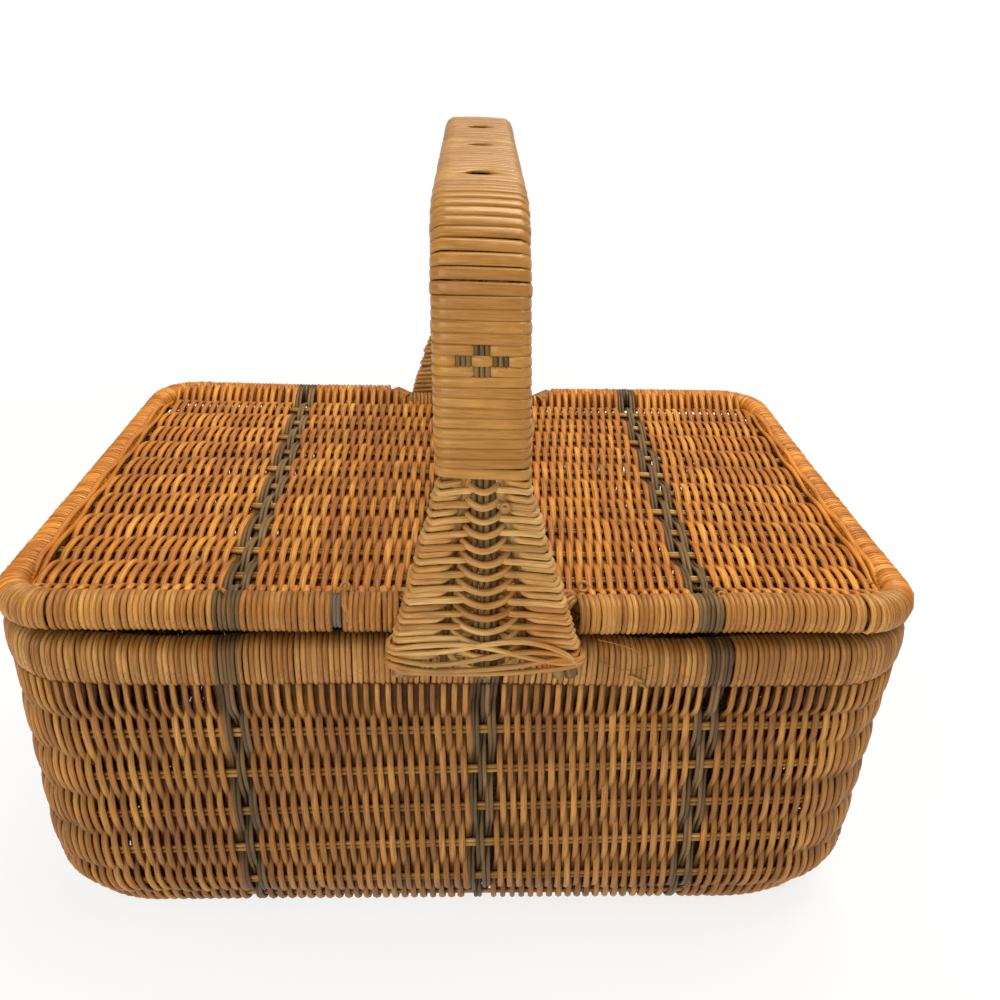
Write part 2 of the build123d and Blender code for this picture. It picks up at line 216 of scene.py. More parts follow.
# The photograph's camera
CAMERA_PLACE = (-4.16, -502.16, 435.63)
CAMERA_YAW = 2.937
CAMERA_PITCH = 26.314
CAMERA_ROLL = 2.064
CAMERA_LENS = 34.2
CAMERA_SENSOR = 36.0

# Each soft lamp's name, place, aim, size and power, in metres and watts
LAMPS = (
    ("lamp_above", (0.35, 0.25, 1.5), (0.0, 0.0, 0.15), (1.1, 0.9), 20.0),
    ("lamp_front", (-0.7, -1.4, 0.9), (0.0, 0.0, 0.12), (1.2, 0.9), 13.0),
)
LAMP_COLOUR = "FFF1DC"
# Stretches the shaded floor under the basket, 0.37 by 0.23 m, to a square that is 2 across
UNDER_BASKET = (5.4, 8.6, 0.0)
# Height of a raised fibre in metres, its length, and how far apart strands start in the noise
FIBRE_HEIGHT = 0.0003
FIBRE_LENGTH = 40
STRAND_APART = 60

# The sockets of a mix of two colours
MIX_SHARE = 0
MIX_FIRST = 6
MIX_SECOND = 7
MIX_RESULT = 2

# How boxy the turns round a border and round the rim are, from 1, an ellipse, towards 0, a box
BORDER_POWER = 0.86
RIM_POWER = 0.72

ALONG_X = (1.0, 0.0, 0.0)
ALONG_Y = (0.0, 1.0, 0.0)
ALONG_Z = (0.0, 0.0, 1.0)

rng = np.random.default_rng(SEED)


def linear(code):
    """A colour written as sRGB hex, as the linear values that a shader takes."""
    parts = [int(code[place : place + 2], 16) / 255 for place in (0, 2, 4)]
    return [v / 12.92 if v <= 0.04045 else ((v + 0.055) / 1.055) ** 2.4 for v in parts]


def unit(vectors):
    """Vectors of length one."""
    return vectors / np.maximum(np.linalg.norm(vectors, axis=-1, keepdims=True), 1e-9)


def ease(low, high, values):
    """A smooth step from 0 at low to 1 at high."""
    share = np.clip((values - low) / (high - low), 0, 1)
    return share * share * (3 - 2 * share)


def spread(value, shape):
    """A number, or one number a strand, for every point of every strand."""
    value = np.asarray(value, float)
    if value.ndim == 1:
        value = value[:, None]
    return np.broadcast_to(value, shape)


def boxed(values, power):
    """Rounds a circle's cosine or sine towards a box when power is under 1."""
    return np.sign(values) * np.abs(values) ** power


def crest(turn):
    """A wave from -1 to 1 that lies flat over each stake, as a stiff reed does."""
    wave = np.cos(turn)
    return wave * (1.35 - 0.35 * wave * wave)


class Weave:
    """Gathers strands and turns them into one mesh.

    A weave has thousands of strands that pass over and under each other, so each one is swept
    here along its own line. No primitive bent in edit mode gives that.
    """

    def __init__(self):
        self.points = []
        self.corners = []
        self.sizes = []
        self.shade = []
        self.painted_shade = []
        self.grain = []
        self.count = 0

    def add(self, lines, side, width, thick=None, sides=6, closed=False, painted_shade=0.0, power=1.0):
        """Sweeps a strand along one line or each of several. Thick is across, and width along side."""
        lines = np.asarray(lines, float)
        lines = lines[None] if lines.ndim == 2 else lines
        strands, steps, _ = lines.shape
        if closed:
            tangent = np.roll(lines, -1, 1) - np.roll(lines, 1, 1)
        else:
            tangent = np.gradient(lines, axis=1)
        tangent = unit(tangent)
        side = np.broadcast_to(np.asarray(side, float), lines.shape)
        side = unit(side - tangent * np.sum(side * tangent, -1, keepdims=True))
        normal = np.cross(tangent, side)
        width = spread(width, (strands, steps))
        thick = width if thick is None else spread(thick, (strands, steps))
        angle = 2 * math.pi * (np.arange(sides) + 0.5) / sides
        across = boxed(np.cos(angle), power)
        up = boxed(np.sin(angle), power)
        reach = (width / 2)[:, :, None, None] * across[None, None, :, None]
        rise = (thick / 2)[:, :, None, None] * up[None, None, :, None]
        rings = lines[:, :, None] + side[:, :, None] * reach + normal[:, :, None] * rise
        index = self.count + np.arange(strands * steps * sides).reshape(strands, steps, sides)
        following = np.roll(index, -1, 1) if closed else index[:, 1:]
        near = index if closed else index[:, :-1]
        quads = np.stack(
            [near, np.roll(near, -1, 2), np.roll(following, -1, 2), following], axis=-1
        )
        self.points.append(rings.reshape(-1, 3))
        self.corners.append(quads.reshape(-1))
        self.sizes.append(np.full(quads.size // 4, 4))
        if not closed:
            caps = np.concatenate([index[:, 0, ::-1], index[:, -1]])
            self.corners.append(caps.reshape(-1))
            self.sizes.append(np.full(len(caps), sides))
        self.count += strands * steps * sides
        shade = rng.random(strands)
        run = np.linalg.norm(np.diff(lines, axis=1), axis=-1).cumsum(1) / FIBRE_LENGTH
        run = np.concatenate([np.zeros((strands, 1)), run], 1) + STRAND_APART * shade[:, None]
        grain = np.empty((strands, steps, sides, 3))
        grain[..., 0] = run[:, :, None]
        grain[..., 1] = np.cos(angle)
        grain[..., 2] = np.sin(angle)
        self.grain.append(grain.reshape(-1, 3))
        self.shade.append(np.repeat(shade, steps * sides))
        # Painted shade for each point, from 0 in the open to 1 deep under other strands.
        self.painted_shade.append(np.repeat(spread(painted_shade, (strands, steps)).reshape(-1), sides))

    def piece(self, name, body, material, slot, *nodes):
        """The finished mesh as a piece that rides on a body and stands for solids of the frame."""
        mesh = bpy.data.meshes.new(name)
        points = np.concatenate(self.points) * MM
        corners = np.concatenate(self.corners)
        sizes = np.concatenate(self.sizes)
        starts = np.concatenate([[0], np.cumsum(sizes)[:-1]])
        mesh.vertices.add(len(points))
        mesh.vertices.foreach_set("co", points.astype(np.float32).ravel())
        mesh.loops.add(len(corners))
        mesh.loops.foreach_set("vertex_index", corners.astype(np.int32))
        mesh.polygons.add(len(sizes))
        mesh.polygons.foreach_set("loop_start", starts.astype(np.int32))
        mesh.update(calc_edges=True)
        for label, values in (("shade", self.shade), ("painted_shade", self.painted_shade)):
            attribute = mesh.attributes.new(label, "FLOAT", "POINT")
            attribute.data.foreach_set("value", np.concatenate(values).astype(np.float32))
        attribute = mesh.attributes.new("grain", "FLOAT_VECTOR", "POINT")
        attribute.data.foreach_set("vector", np.concatenate(self.grain).astype(np.float32).ravel())
        mesh.shade_smooth()
        made = bpy.data.objects.new(name, mesh)
        bpy.context.scene.collection.objects.link(made)
        mesh.materials.append(materials[material])
        seat(made, body, slot, *nodes)
        return made


def seat(made, body, slot, *nodes):
    """Puts a piece on its body and hides the solids of the frame that it stands for. Its slot is not
    used.
    """
    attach(made, body)
    if nodes:
        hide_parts(*nodes)


def turns(centres, along, half_width, half_height, power=1.0, steps=12, lean=0.0):
    """Closed turns round a level rod, one for each centre. Along is the way the rod runs."""
    centres = np.asarray(centres, float)
    along = unit(np.broadcast_to(np.asarray(along, float), centres.shape))
    up = np.array(ALONG_Z)
    out = np.cross(along, up)
    angle = 2 * math.pi * np.arange(steps) / steps
    across = boxed(np.cos(angle), power)
    rise = boxed(np.sin(angle), power)
    half_width = spread(half_width, (len(centres), steps))
    half_height = spread(half_height, (len(centres), steps))
    lean = spread(lean, (len(centres), steps))
    lines = centres[:, None] + out[:, None] * (half_width * across)[..., None]
    lines = lines + up * (half_height * rise)[..., None]
    lines = lines + along[:, None] * (lean * across)[..., None]
    return lines, np.repeat(along[:, None], steps, 1)


def node(tree, kind, inputs=None, stops=(), **settings):
    """Adds one node with its settings and colour stops, and fills or links its inputs."""
    made = tree.nodes.new("ShaderNode" + kind)
    for name, value in settings.items():
        setattr(made, name, value)
    for name, value in (inputs or {}).items():
        if isinstance(value, bpy.types.NodeSocket):
            tree.links.new(value, made.inputs[name])
        else:
            made.inputs[name].default_value = value
    if stops:
        elements = made.color_ramp.elements
        while len(elements) < len(stops):
            elements.new(0.5)
        for element, (place, colour) in zip(elements, stops):
            element.position = place
            element.color = colour
    return made


def blank(name):
    """A new material with only its output and its shader."""
    material = bpy.data.materials.new(name)
    material.use_nodes = True
    tree = material.node_tree
    tree.nodes.clear()
    shader = node(tree, "BsdfPrincipled")
    output = node(tree, "OutputMaterial", {"Surface": shader.outputs[0]})
    return material, tree, shader, output


def dress(tree, shader, base, roughness, fibre, raised):
    """Gives a shader its colour, its roughness and its raised fibres."""
    tree.links.new(base, shader.inputs["Base Color"])
    shader.inputs["Roughness"].default_value = roughness
    inputs = {"Height": fibre, "Strength": raised, "Distance": FIBRE_HEIGHT}
    tree.links.new(node(tree, "Bump", inputs).outputs[0], shader.inputs["Normal"])


def rgba(colour):
    """A colour with full opacity."""
    return (*colour, 1.0)


def grey(value):
    """A plain value as a colour."""
    return (value, value, value, 1.0)


def reed_material(name, colours, roughness, coat, streak, stain):
    """Rattan reed: each strand has its own shade, long fibres and stains, and painted shade in the
    hollows.
    """
    dark, middle, light = [rgba(linear(code)) for code in colours]
    material, tree, shader, _ = blank(name)
    shade = node(tree, "Attribute", attribute_name="shade").outputs["Fac"]
    painted_shade = node(tree, "Attribute", attribute_name="painted_shade").outputs["Fac"]
    grain = node(tree, "Attribute", attribute_name="grain").outputs["Vector"]
    place = node(tree, "TexCoord").outputs["Object"]
    stops = [(0.0, dark), (0.5, middle), (1.0, light)]
    base = node(tree, "ValToRGB", {"Fac": shade}, stops).outputs[0]
    # Stains that run across many strands are about 40 mm wide.
    inputs = {"Vector": place, "Scale": 24.0, "Detail": 3.0, "Roughness": 0.55}
    cloud = node(tree, "TexNoise", inputs).outputs["Fac"]
    stops = [(0.42, grey(0.0)), (0.68, grey(0.75))]
    patch = node(tree, "ValToRGB", {"Fac": cloud}, stops).outputs[0]
    inputs = {MIX_SHARE: patch, MIX_FIRST: base, MIX_SECOND: rgba(linear(stain))}
    base = node(tree, "Mix", inputs, data_type="RGBA").outputs[MIX_RESULT]
    # Fibres run along each strand, and a strand is about 2.4 mm thick.
    inputs = {"Vector": grain, "Scale": 3.2, "Detail": 5.0, "Roughness": 0.6}
    fibre = node(tree, "TexNoise", inputs).outputs["Fac"]
    # Fibres streak the colour, and painted shade darkens it in the hollows.
    streaks = [(0.34, grey(1.0 - streak)), (0.62, grey(1.12))]
    painted_shade_stops = [(0.0, grey(1.0)), (0.8, grey(0.55)), (1.0, grey(0.32))]
    for factor, stops in ((fibre, streaks), (painted_shade, painted_shade_stops)):
        darker = node(tree, "ValToRGB", {"Fac": factor}, stops).outputs[0]
        inputs = {MIX_SHARE: 1.0, MIX_FIRST: base, MIX_SECOND: darker}
        mixed = node(tree, "Mix", inputs, data_type="RGBA", blend_type="MULTIPLY")
        base = mixed.outputs[MIX_RESULT]
    shader.inputs["Coat Weight"].default_value = coat
    shader.inputs["Coat Roughness"].default_value = 0.28
    shader.inputs["IOR"].default_value = 1.5
    shader.inputs["Specular IOR Level"].default_value = 0.35
    dress(tree, shader, base, roughness, fibre, 0.35)
    return material


def rod_material(name, colours, roughness):
    """Peeled rattan rod, matt, with fibres about 1 mm apart and grey stains of about 30 mm."""
    dark, light = [rgba(linear(code)) for code in colours]
    material, tree, shader, _ = blank(name)
    place = node(tree, "TexCoord").outputs["Object"]
    stretched = node(tree, "Mapping", {"Vector": place, "Scale": (900.0, 60.0, 900.0)}).outputs[0]
    inputs = {"Vector": stretched, "Scale": 1.0, "Detail": 4.0}
    fibre = node(tree, "TexNoise", inputs).outputs["Fac"]
    inputs = {"Vector": place, "Scale": 33.0, "Detail": 3.0}
    cloud = node(tree, "TexNoise", inputs).outputs["Fac"]
    inputs = {0: fibre, 1: cloud, 2: 0.18}
    factor = node(tree, "Math", inputs, operation="MULTIPLY_ADD").outputs[0]
    base = node(tree, "ValToRGB", {"Fac": factor}, [(0.25, dark), (0.65, light)]).outputs[0]
    dress(tree, shader, base, roughness, fibre, 0.3)
    return material


# Each reed's name, its dark, middle and light colours, roughness, coat, streak and stain
REEDS = {
    # Rattan core reed under old amber varnish: warm orange, a little glossy, uneven in colour.
    "lid": ("varnished_reed_of_lids", ("B46C1E", "D88C2C", "EEA846"), 0.45, 0.14, 0.55, "AC661E"),
    # The same reed with less varnish and more dust: browner.
    "tub": ("varnished_reed_of_tub", ("8A5A1E", "AE7630", "C8924A"), 0.5, 0.08, 0.55, "8C5824"),
    # Reed wound tightly round the lids' front borders: smoother, and more even in colour.
    "bound": ("varnished_reed_of_borders", ("9C682C", "B6803C", "CA9852"), 0.45, 0.14, 0.55, "9E662A"),
    # Reed of the rim, rubbed and a little browner than the borders above it.
    "rim": ("varnished_reed_of_rim", ("93642C", "AE7C3E", "C29456"), 0.47, 0.12, 0.55, "94602A"),
    # Stakes: lighter peeled reed without varnish.
    "stake": ("peeled_reed_stakes", ("9C7034", "BE9048", "D4AC66"), 0.55, 0.05, 0.4, "9C7034"),
    # Straw-coloured reed of the flares, semi-matt, with fine pale fibres.
    "flare": ("straw_reed_of_flares", ("A27840", "C29858", "DAB476"), 0.45, 0.12, 0.5, "B4762E"),
    # Flat cane with its own glossy skin, honey coloured.
    "cane": ("glossy_flat_cane", ("9C6E2A", "A97B35", "B68A41"), 0.3, 0.25, 0.25, "98682A"),
    # Smoked cane: olive brown all through, satin.
    "smoked": ("smoked_cane", ("523E20", "745834", "8E7248"), 0.5, 0.08, 0.5, "523E20"),
    # Bare weathered core, grey and matt.
    "grey": ("bare_grey_core", ("6E6556", "8A7F6C", "A09682"), 0.7, 0.0, 0.5, "6E6556"),
}
materials = {}


def make_materials():
    """All the finishes, from varnished reed to smoked cane."""
    for key, values in REEDS.items():
        materials[key] = reed_material(*values)
    # Rods and loops: peeled rattan, matt and streaked, with a few grey stains.
    materials["rod"] = rod_material("peeled_rattan_rods", ("7A5628", "B48848"), 0.6)


def lid_reach(side):
    """From the hinge to the middle of the end border."""
    return LID_REACH - side * HINGE_X - BORDER_HALF


def lid_places(side, pitch):
    """Places of the reeds from the hinge outwards, their phases and which are smoked."""
    start = HINGE_ROD_REACH + MAT_GAP
    end = lid_reach(side) - BORDER_HALF + MAT_LAP
    band = LID_BANDS[side]
    places = []
    for low, high in ((start, band - BAND_HALF), (band + BAND_HALF, end)):
        count = int(round((high - low) / pitch))
        for number in range(count):
            phase = len(places) % 2
            places.append((low + (number + 0.5) * (high - low) / count, phase, False))
        if high < end:
            for offset, phase in zip(BAND_OFFSETS, BAND_PHASES):
                places.append((band + offset, phase, True))
    return places


def border_y(side, reach):
    """Distance of the border's middle from the centre line at a distance from the hinge."""
    corner = np.maximum(reach - (lid_reach(side) - LID_CORNER), 0)
    straight = LID_BORDER_Y - LID_CORNER
    return straight + np.sqrt(np.maximum(LID_CORNER**2 - corner**2, 0))


def to_world(side, reach, y, z):
    """Points of a lid from distances from the hinge."""
    reach, y, z = np.broadcast_arrays(reach, y, z)
    slant = BAND_SLANT * (y / LID_BORDER_Y / 2) * np.exp(-(((reach - LID_BANDS[side]) / 60) ** 2))
    return np.stack([HINGE_X + side * (reach + slant), y, z], -1)


def lid_drop(side, reach, y):
    """How far the lids have settled out of true with age. Their fronts gape over the rim."""
    low = LID_SAG * np.sin(reach / 47 + side) * np.cos(y / 61)
    gape = LID_GAPE * np.exp(-(((reach - 130) / 50) ** 2)) * ease(60, 130, -y)
    return low - 0.5 + gape


def climb_border(side, plain, reed):
    """The last reeds of a lid, which climb the inner side of the end border."""
    for inward, climb in CLIMBING_REEDS:
        y = np.linspace(-1, 1, LID_STEPS) * (LID_BORDER_Y - LID_CORNER + 3)
        level = climb * (1 - ease(98, 116, np.abs(y)))
        level = level + 0.8 * np.cos(math.pi * ((y - FIRST_STAKE) / STAKE_STEP + (inward > 6)))
        spot = lid_reach(side) + END_SHIFT - inward
        z = LID_Z + level + lid_drop(side, spot, y)
        lines = to_world(side, np.full(LID_STEPS, spot), y, z)
        plain.add(lines, ALONG_X, CLIMBING_REED, reed)


def lay_stakes(side):
    """The pairs of stakes that a lid's reeds pass over and under."""
    stakes = Weave()
    rows = FIRST_STAKE + STAKE_STEP * np.arange(STAKE_ROWS)
    reaches = np.linspace(HINGE_ROD_REACH + 1, lid_reach(side) - 1, 60)
    for offset in (-1.25, 1.25):
        y = rows[:, None] + offset + 0.5 * np.sin(reaches[None, :] / 23 + rows[:, None])
        z = LID_Z + lid_drop(side, reaches[None, :], y) + 0.15 * np.sin(reaches / 5)
        lines = to_world(side, reaches[None, :], y, z)
        # Painted shade on the stakes where the reeds cover them, less at the smoked band.
        covered_shade = 0.55 - 0.5 * np.exp(-(((reaches - LID_BANDS[side]) / 7) ** 2))
        covered_shade = np.broadcast_to(covered_shade, y.shape)
        stakes.add(lines, ALONG_Y, LID_STAKE, painted_shade=covered_shade)
    return stakes


def weave_lid(side, pitch, reed):
    """The reeds and stakes of one lid. Its smoked strands get their turns later."""
    name = LID_NAMES[side]
    plain, smoked = Weave(), Weave()
    reach, phase, dark = [np.array(values) for values in zip(*lid_places(side, pitch))]
    end = border_y(side, reach) - 4.5
    front = np.where(reach < NECK_ENDS[side, -1] - NECK_SLOPE / 2, NECK_Y - 1.0, end)
    back = np.where(reach < NECK_ENDS[side, 1] - NECK_SLOPE / 2, NECK_Y - 1.0, end)
    share = np.linspace(0, 1, LID_STEPS)[None, :]
    y = -front[:, None] * (1 - share) + back[:, None] * share
    # Neighbours drift together, so that no light comes between them.
    drift = LID_DRIFT * np.sin(y / 37 + reach[:, None] / 21 + side) * np.cos(y / 90)
    drift = drift + rng.normal(0, 0.12, (len(reach), 1)) * np.sin(y / 24)
    turn = math.pi * ((y + 0.8 * rng.normal(0, 1, (len(reach), 1)) - FIRST_STAKE) / STAKE_STEP)
    turn = turn + math.pi * phase[:, None]
    wave = crest(turn)
    rise = STAKE_HALF + reed / 2
    z = LID_Z + rise * wave
    outer = math.pi * (np.sign(y) * OUTER_CREST - FIRST_STAKE) / STAKE_STEP + math.pi * phase[:, None]
    outer = np.cos(outer)
    free = (reach > NECK_ENDS[side, -1])[:, None]
    # At the borders every second reed climbs over, and the others go under.
    lift = np.where(outer > 0, BORDER_CLIMB, BORDER_DIP) * free
    lift = lift * ease(BORDER_START, BORDER_TOP, np.abs(y))
    z = z + lift + lid_drop(side, reach[:, None], y)
    lean = 0.3 * np.sin(turn)
    hook = 1.6 * ease(122, BORDER_TOP, -y) * free * (outer > 0)
    lines = to_world(side, reach[:, None] + side * (lean + hook) + drift, y, z)
    # Painted shade where a reed dips under a stake, less near the borders. The smoked reeds get less of
    # it.
    painted_shade = np.clip(0.5 - 0.55 * wave, 0, 1) * (1 - 0.5 * ease(120, BORDER_TOP, np.abs(y)))
    across = ALONG_X
    width = reed * (1 + 0.06 * rng.normal(0, 1, len(reach)))
    swell = np.where(wave > 0, 0.04, 0.4) * np.abs(wave)
    fat = pitch * (LID_SQUASH + swell) * (width / reed)[:, None]
    plain.add(lines[~dark], across, fat[~dark], reed, painted_shade=painted_shade[~dark])
    smoked.add(lines[dark], across, BAND_REED * 1.12, BAND_REED, painted_shade=painted_shade[dark] * 0.7)
    climb_border(side, plain, reed)
    stakes = lay_stakes(side)
    plain.piece(name + "_reeds", name, "lid", "lid_reed", name + "_mat")
    stakes.piece(name + "_stake_pairs", name, "stake", "core_rattan", name + "_stakes")
    return smoked


def border_sites(side, pitch, front_ring):
    """Centres, directions, radii and kinds of the turns round one lid's border."""
    straight = lid_reach(side) - LID_CORNER
    rows = [(reach, dark) for reach, _, dark in lid_places(side, pitch) if reach < straight]
    rows += [(reach, False) for reach in np.arange(rows[-1][0] + pitch, straight, pitch)]
    centres, along, rings, kinds = [], [], [], []
    for end, ring in ((-1, front_ring), (1, BACK_RING)):
        plain = "bound" if end < 0 else "ends"
        for reach, is_dark in rows:
            x = float(to_world(side, reach, end * LID_BORDER_Y, 0.0)[0])
            if reach < NECK_ENDS[side, end] + 1.5 or (end < 0 and BARE_CORE[0] < x < BARE_CORE[1]):
                continue
            centres.append((x, end * LID_BORDER_Y, 0.0))
            along.append((1.0, 0.015 * rng.normal(), 0.0))
            rings.append(ring)
            kinds.append("smoked" if is_dark else plain)
        count = int(LID_CORNER * math.pi / 2 / CORNER_TURN)
        for number in range(count):
            share = (number + 0.5) / count
            angle = share * math.pi / 2
            x = straight + (LID_CORNER + END_SHIFT) * math.sin(angle)
            y = LID_BORDER_Y - LID_CORNER + LID_CORNER * math.cos(angle)
            centres.append((HINGE_X + side * x, end * y, 0.0))
            along.append((side * math.cos(angle), -end * math.sin(angle), 0.0))
            rings.append(ring + (END_RING - ring) * float(ease(0.2, 1.0, share)))
            kinds.append(plain if share < 0.6 else "ends")
    for y in np.arange(-LID_BORDER_Y + LID_CORNER, LID_BORDER_Y - LID_CORNER, END_TURN):
        centres.append((HINGE_X + side * (lid_reach(side) + END_SHIFT), y, 0.0))
        along.append((0.1 * rng.normal(0, 0.4), 1.0, 0.0))
        rings.append(END_RING)
        kinds.append("ends")
    return [np.array(values) for values in (centres, along, rings, kinds)]


def bind_necks(side):
    """The turns round the thin necks beside the handle and round the hinge rod."""
    thin = Weave()
    for end in (-1, 1):
        thick = NECK_ENDS[side, end]
        corners = ((HINGE_ROD_REACH, NECK_Y), (thick - NECK_SLOPE, NECK_Y), (thick, LID_BORDER_Y))
        for (x0, y0), (x1, y1) in zip(corners[:-1], corners[1:]):
            count = int(math.hypot(x1 - x0, y1 - y0) / NECK_TURN)
            share = (np.arange(count) + 0.5) / count
            x = HINGE_X + side * (x0 + (x1 - x0) * share)
            y = end * (y0 + (y1 - y0) * share)
            middle = np.stack([x, y, np.full(count, BORDER_Z)], -1)
            way = (side * (x1 - x0), end * (y1 - y0), 0.0)
            lines, sides = turns(middle, way, NECK_RING, NECK_RING, 1.0, 10, 0.4)
            # Each turn gets a little painted shade.
            thin.add(lines, sides, 2.45, closed=True, painted_shade=0.1)
    # A turn round the hinge rod beside each stake pair holds the mat to it.
    for offset in ROD_TURN_OFFSETS:
        y = FIRST_STAKE + STAKE_STEP * np.arange(STAKE_ROWS) + offset
        x = np.full(STAKE_ROWS, HINGE_X + side * HINGE_ROD_REACH)
        middle = np.stack([x, y, np.full(STAKE_ROWS, HINGE_Z)], -1)
        lines, sides = turns(middle, ALONG_Y, ROD_TURN_RADIUS, ROD_TURN_RADIUS, 1.0, 10, 0.3)
        # Each turn gets a little painted shade.
        thin.add(lines, sides, 1.9, sides=5, closed=True, painted_shade=0.1)
    return thin


def bind_lid(side, pitch, reed, smoked):
    """The turns of reed round one lid's border, its necks and its hinge rod."""
    name = LID_NAMES[side]
    bound, ends = Weave(), Weave()
    centres, along, rings, kinds = border_sites(side, pitch, BORDER_HALF - reed / 2)
    reach = (centres[:, 0] - HINGE_X) * side
    centres[:, 2] = BORDER_Z + lid_drop(side, reach, centres[:, 1])
    half = rings + 0.1 * rng.normal(0, 1, len(centres))
    lean = rng.normal(0.5, 0.2, len(centres))
    lines, sides = turns(centres, along, half, half, BORDER_POWER, 14, lean)
    width = reed * 1.1 * (1 + 0.04 * rng.normal(0, 1, len(centres)))
    for kind, weave in (("bound", bound), ("ends", ends)):
        pick = kinds == kind
        weave.add(lines[pick], sides[pick], width[pick], reed, closed=True)
    pick = kinds == "smoked"
    smoked.add(lines[pick], sides[pick], SMOKED_TURN, closed=True)
    thin = bind_necks(side)
    add_lid_mends(side, bound)
    bound.piece(name + "_border_turns", name, "bound", "bound_reed", name + "_border_binding")
    ends.piece(name + "_end_turns", name, "lid", "bound_reed")
    thin.piece(name + "_neck_turns", name, "bound", "bound_reed")
    smoked.piece(name + "_smoked_band", name, "smoked", "smoked_cane", name + "_dark_strands")


def add_curl(weave, place, radius, tilt, thick):
    """A small round eye of reed, as where an end was knotted off."""
    angle = 2 * math.pi * np.arange(12) / 12
    ring = np.stack([np.cos(angle), np.sin(angle) * math.cos(tilt), np.sin(angle) * math.sin(tilt)], -1)
    weave.add(np.array(place) + radius * ring, KNOT_SIDE, thick, closed=True)


def add_lid_mends(side, bound):
    """Knots, a slanting turn and a cut end where the borders were tied off, and the bare core."""
    top = LID_Z + BORDER_HALF
    slant = np.array([(0.0, -4.5, 0.2), (0.6, -9.5, -2.2), (2.6, -10.4, -9.0), (3.6, -8.0, -16.0)])
    if side < 0:
        add_curl(bound, (-53.6, -134.5, top + 0.4), 1.9, 0.9, 1.5)
        path = np.array((-53.6, -LID_BORDER_Y + 9.0, top + 0.6)) + slant * (1.0, 1.6, 1.0)
        bound.add(path, ALONG_X, 2.7, sides=7)
        stub = [(-108.5, -137.0, top - 1.0), (-106.8, -139.5, top + 1.6), (-105.4, -142.0, top + 2.0)]
        bound.add(stub, ALONG_X, 1.8)
        core = Weave()
        middle = np.array([(x, -LID_BORDER_Y, BORDER_Z) for x in (-59.4, -57.4, -55.4)])
        lines, sides = turns(middle, ALONG_X, 6.5, 6.5, 0.9, 14)
        core.add(lines, sides, 2.3, closed=True)
        core.piece("lid_left_bare_core", "lid_left", "grey", "core_rattan")
    else:
        add_curl(bound, (54.4, -131.5, top - 0.2), 2.3, 0.8, 1.7)
        add_curl(bound, (115.6, -135.5, top + 0.6), 1.8, 1.0, 1.6)
        add_curl(bound, (116.8, -138.5, top + 0.4), 1.5, 0.4, 1.4)


def wall_plan(z):
    """Half lengths to the left and right, half depth and corner of the tub at each height."""
    up = np.clip((z - BELLY_Z) / (WALL_TOP - BELLY_Z), 0, 1)
    low = np.clip(1 - z / BELLY_Z, 0, 1)
    pulled = 1 - np.sqrt(1 - low * low)
    sizes = zip(WALL_BELLY, WALL_LOSS_ABOVE, WALL_LOSS_BELOW)
    return [belly - above * up - below * pulled for belly, above, below in sizes]


def plan_point(plan, turn, end, along):
    """Place and outward direction on a rounded plan.

    A quarter of the plan runs from the middle of the front or the back to the middle of an end.
    Turn and end are the signs of x and y, and along is the distance along the quarter at the
    rim. Reeds near the middle stay upright, and the others draw together round the corner.
    """
    left, right, depth, corner = plan
    flat = np.where(turn > 0, right, left) - corner
    bend = corner * math.pi / 2
    squeeze = (flat + bend + depth - corner - UPRIGHT_REACH) / (sum(QUARTER) - UPRIGHT_REACH)
    spot = np.minimum(along, UPRIGHT_REACH) + np.maximum(along - UPRIGHT_REACH, 0) * squeeze
    angle = np.clip((spot - flat) / corner, 0, math.pi / 2)
    x = np.minimum(spot, flat) + corner * np.sin(angle)
    y = depth - corner * (1 - np.cos(angle)) - np.maximum(spot - flat - bend, 0)
    out = np.stack([turn * np.sin(angle), end * np.cos(angle)], -1)
    return turn * x, end * y, out


def quarter_place(part, share):
    """Signs of x and y and the distance along the quarter, for a share of one of eight parts.

    The parts are the front, the right front corner, the right end, and so on round.
    """
    flat, bend, side = QUARTER
    middle = 2 * share - 1
    way = np.where(middle < 0, -1, 1)
    one = np.ones_like(way)
    turn = np.choose(part, [way, one, one, one, -way, -one, -one, -one])
    end = np.choose(part, [-one, -one, way, one, one, one, -way, -one])
    lengths = [
        np.abs(middle) * flat,
        flat + share * bend,
        flat + bend + side * (1 - np.abs(middle)),
        flat + (1 - share) * bend,
    ]
    return turn, end, np.choose(part % 4, lengths)


def row_height(row):
    """Height of the wall at a row number, which counts down the wall and round under it."""
    straight = FIRST_ROW - ROW_STEP * row
    angle = np.radians(90.0) * (1 - (row - ROUND_START) / (LAST_ROW - ROUND_START))
    rounded = BELLY_Z * (1 - np.cos(np.clip(angle, 0, math.pi / 2)))
    return np.where(row < ROUND_START, straight, rounded)


def tub_sites(pitch):
    """Where reeds stand round the tub: their quarter places, phases and whether they are smoked."""
    sites = []
    for part in range(8):
        length = QUARTER[(0, 1, 2, 1)[part % 4]] * (2 if part % 2 == 0 else 1)
        count = int(round(length / (pitch if part % 2 == 0 else pitch * CORNER_CROWDING)))
        for number in range(count):
            share = (number + 0.5) / count
            x = (share - 0.5) * length * (1 if part == 0 else -1)
            near = [abs(x - band) < BAND_HALF for band in TUB_BANDS]
            if part in (0, 4) and any(near):
                continue
            sites.append((part, share, False))
        if part in (0, 4):
            for band in TUB_BANDS:
                for offset in BAND_OFFSETS:
                    share = 0.5 + (band + offset) / length * (1 if part == 0 else -1)
                    sites.append((part, share, True))
    sites.sort(key=lambda site: (site[0], site[1]))
    phases = []
    smoked_run = 0
    for _, _, is_dark in sites:
        if is_dark:
            phases.append(BAND_PHASES[smoked_run % len(BAND_PHASES)])
            smoked_run += 1
        else:
            phases.append((phases[-1] + 1) % 2 if phases else 0)
    part, share, dark = [np.array(values) for values in zip(*sites)]
    return quarter_place(part, share), np.array(phases), dark


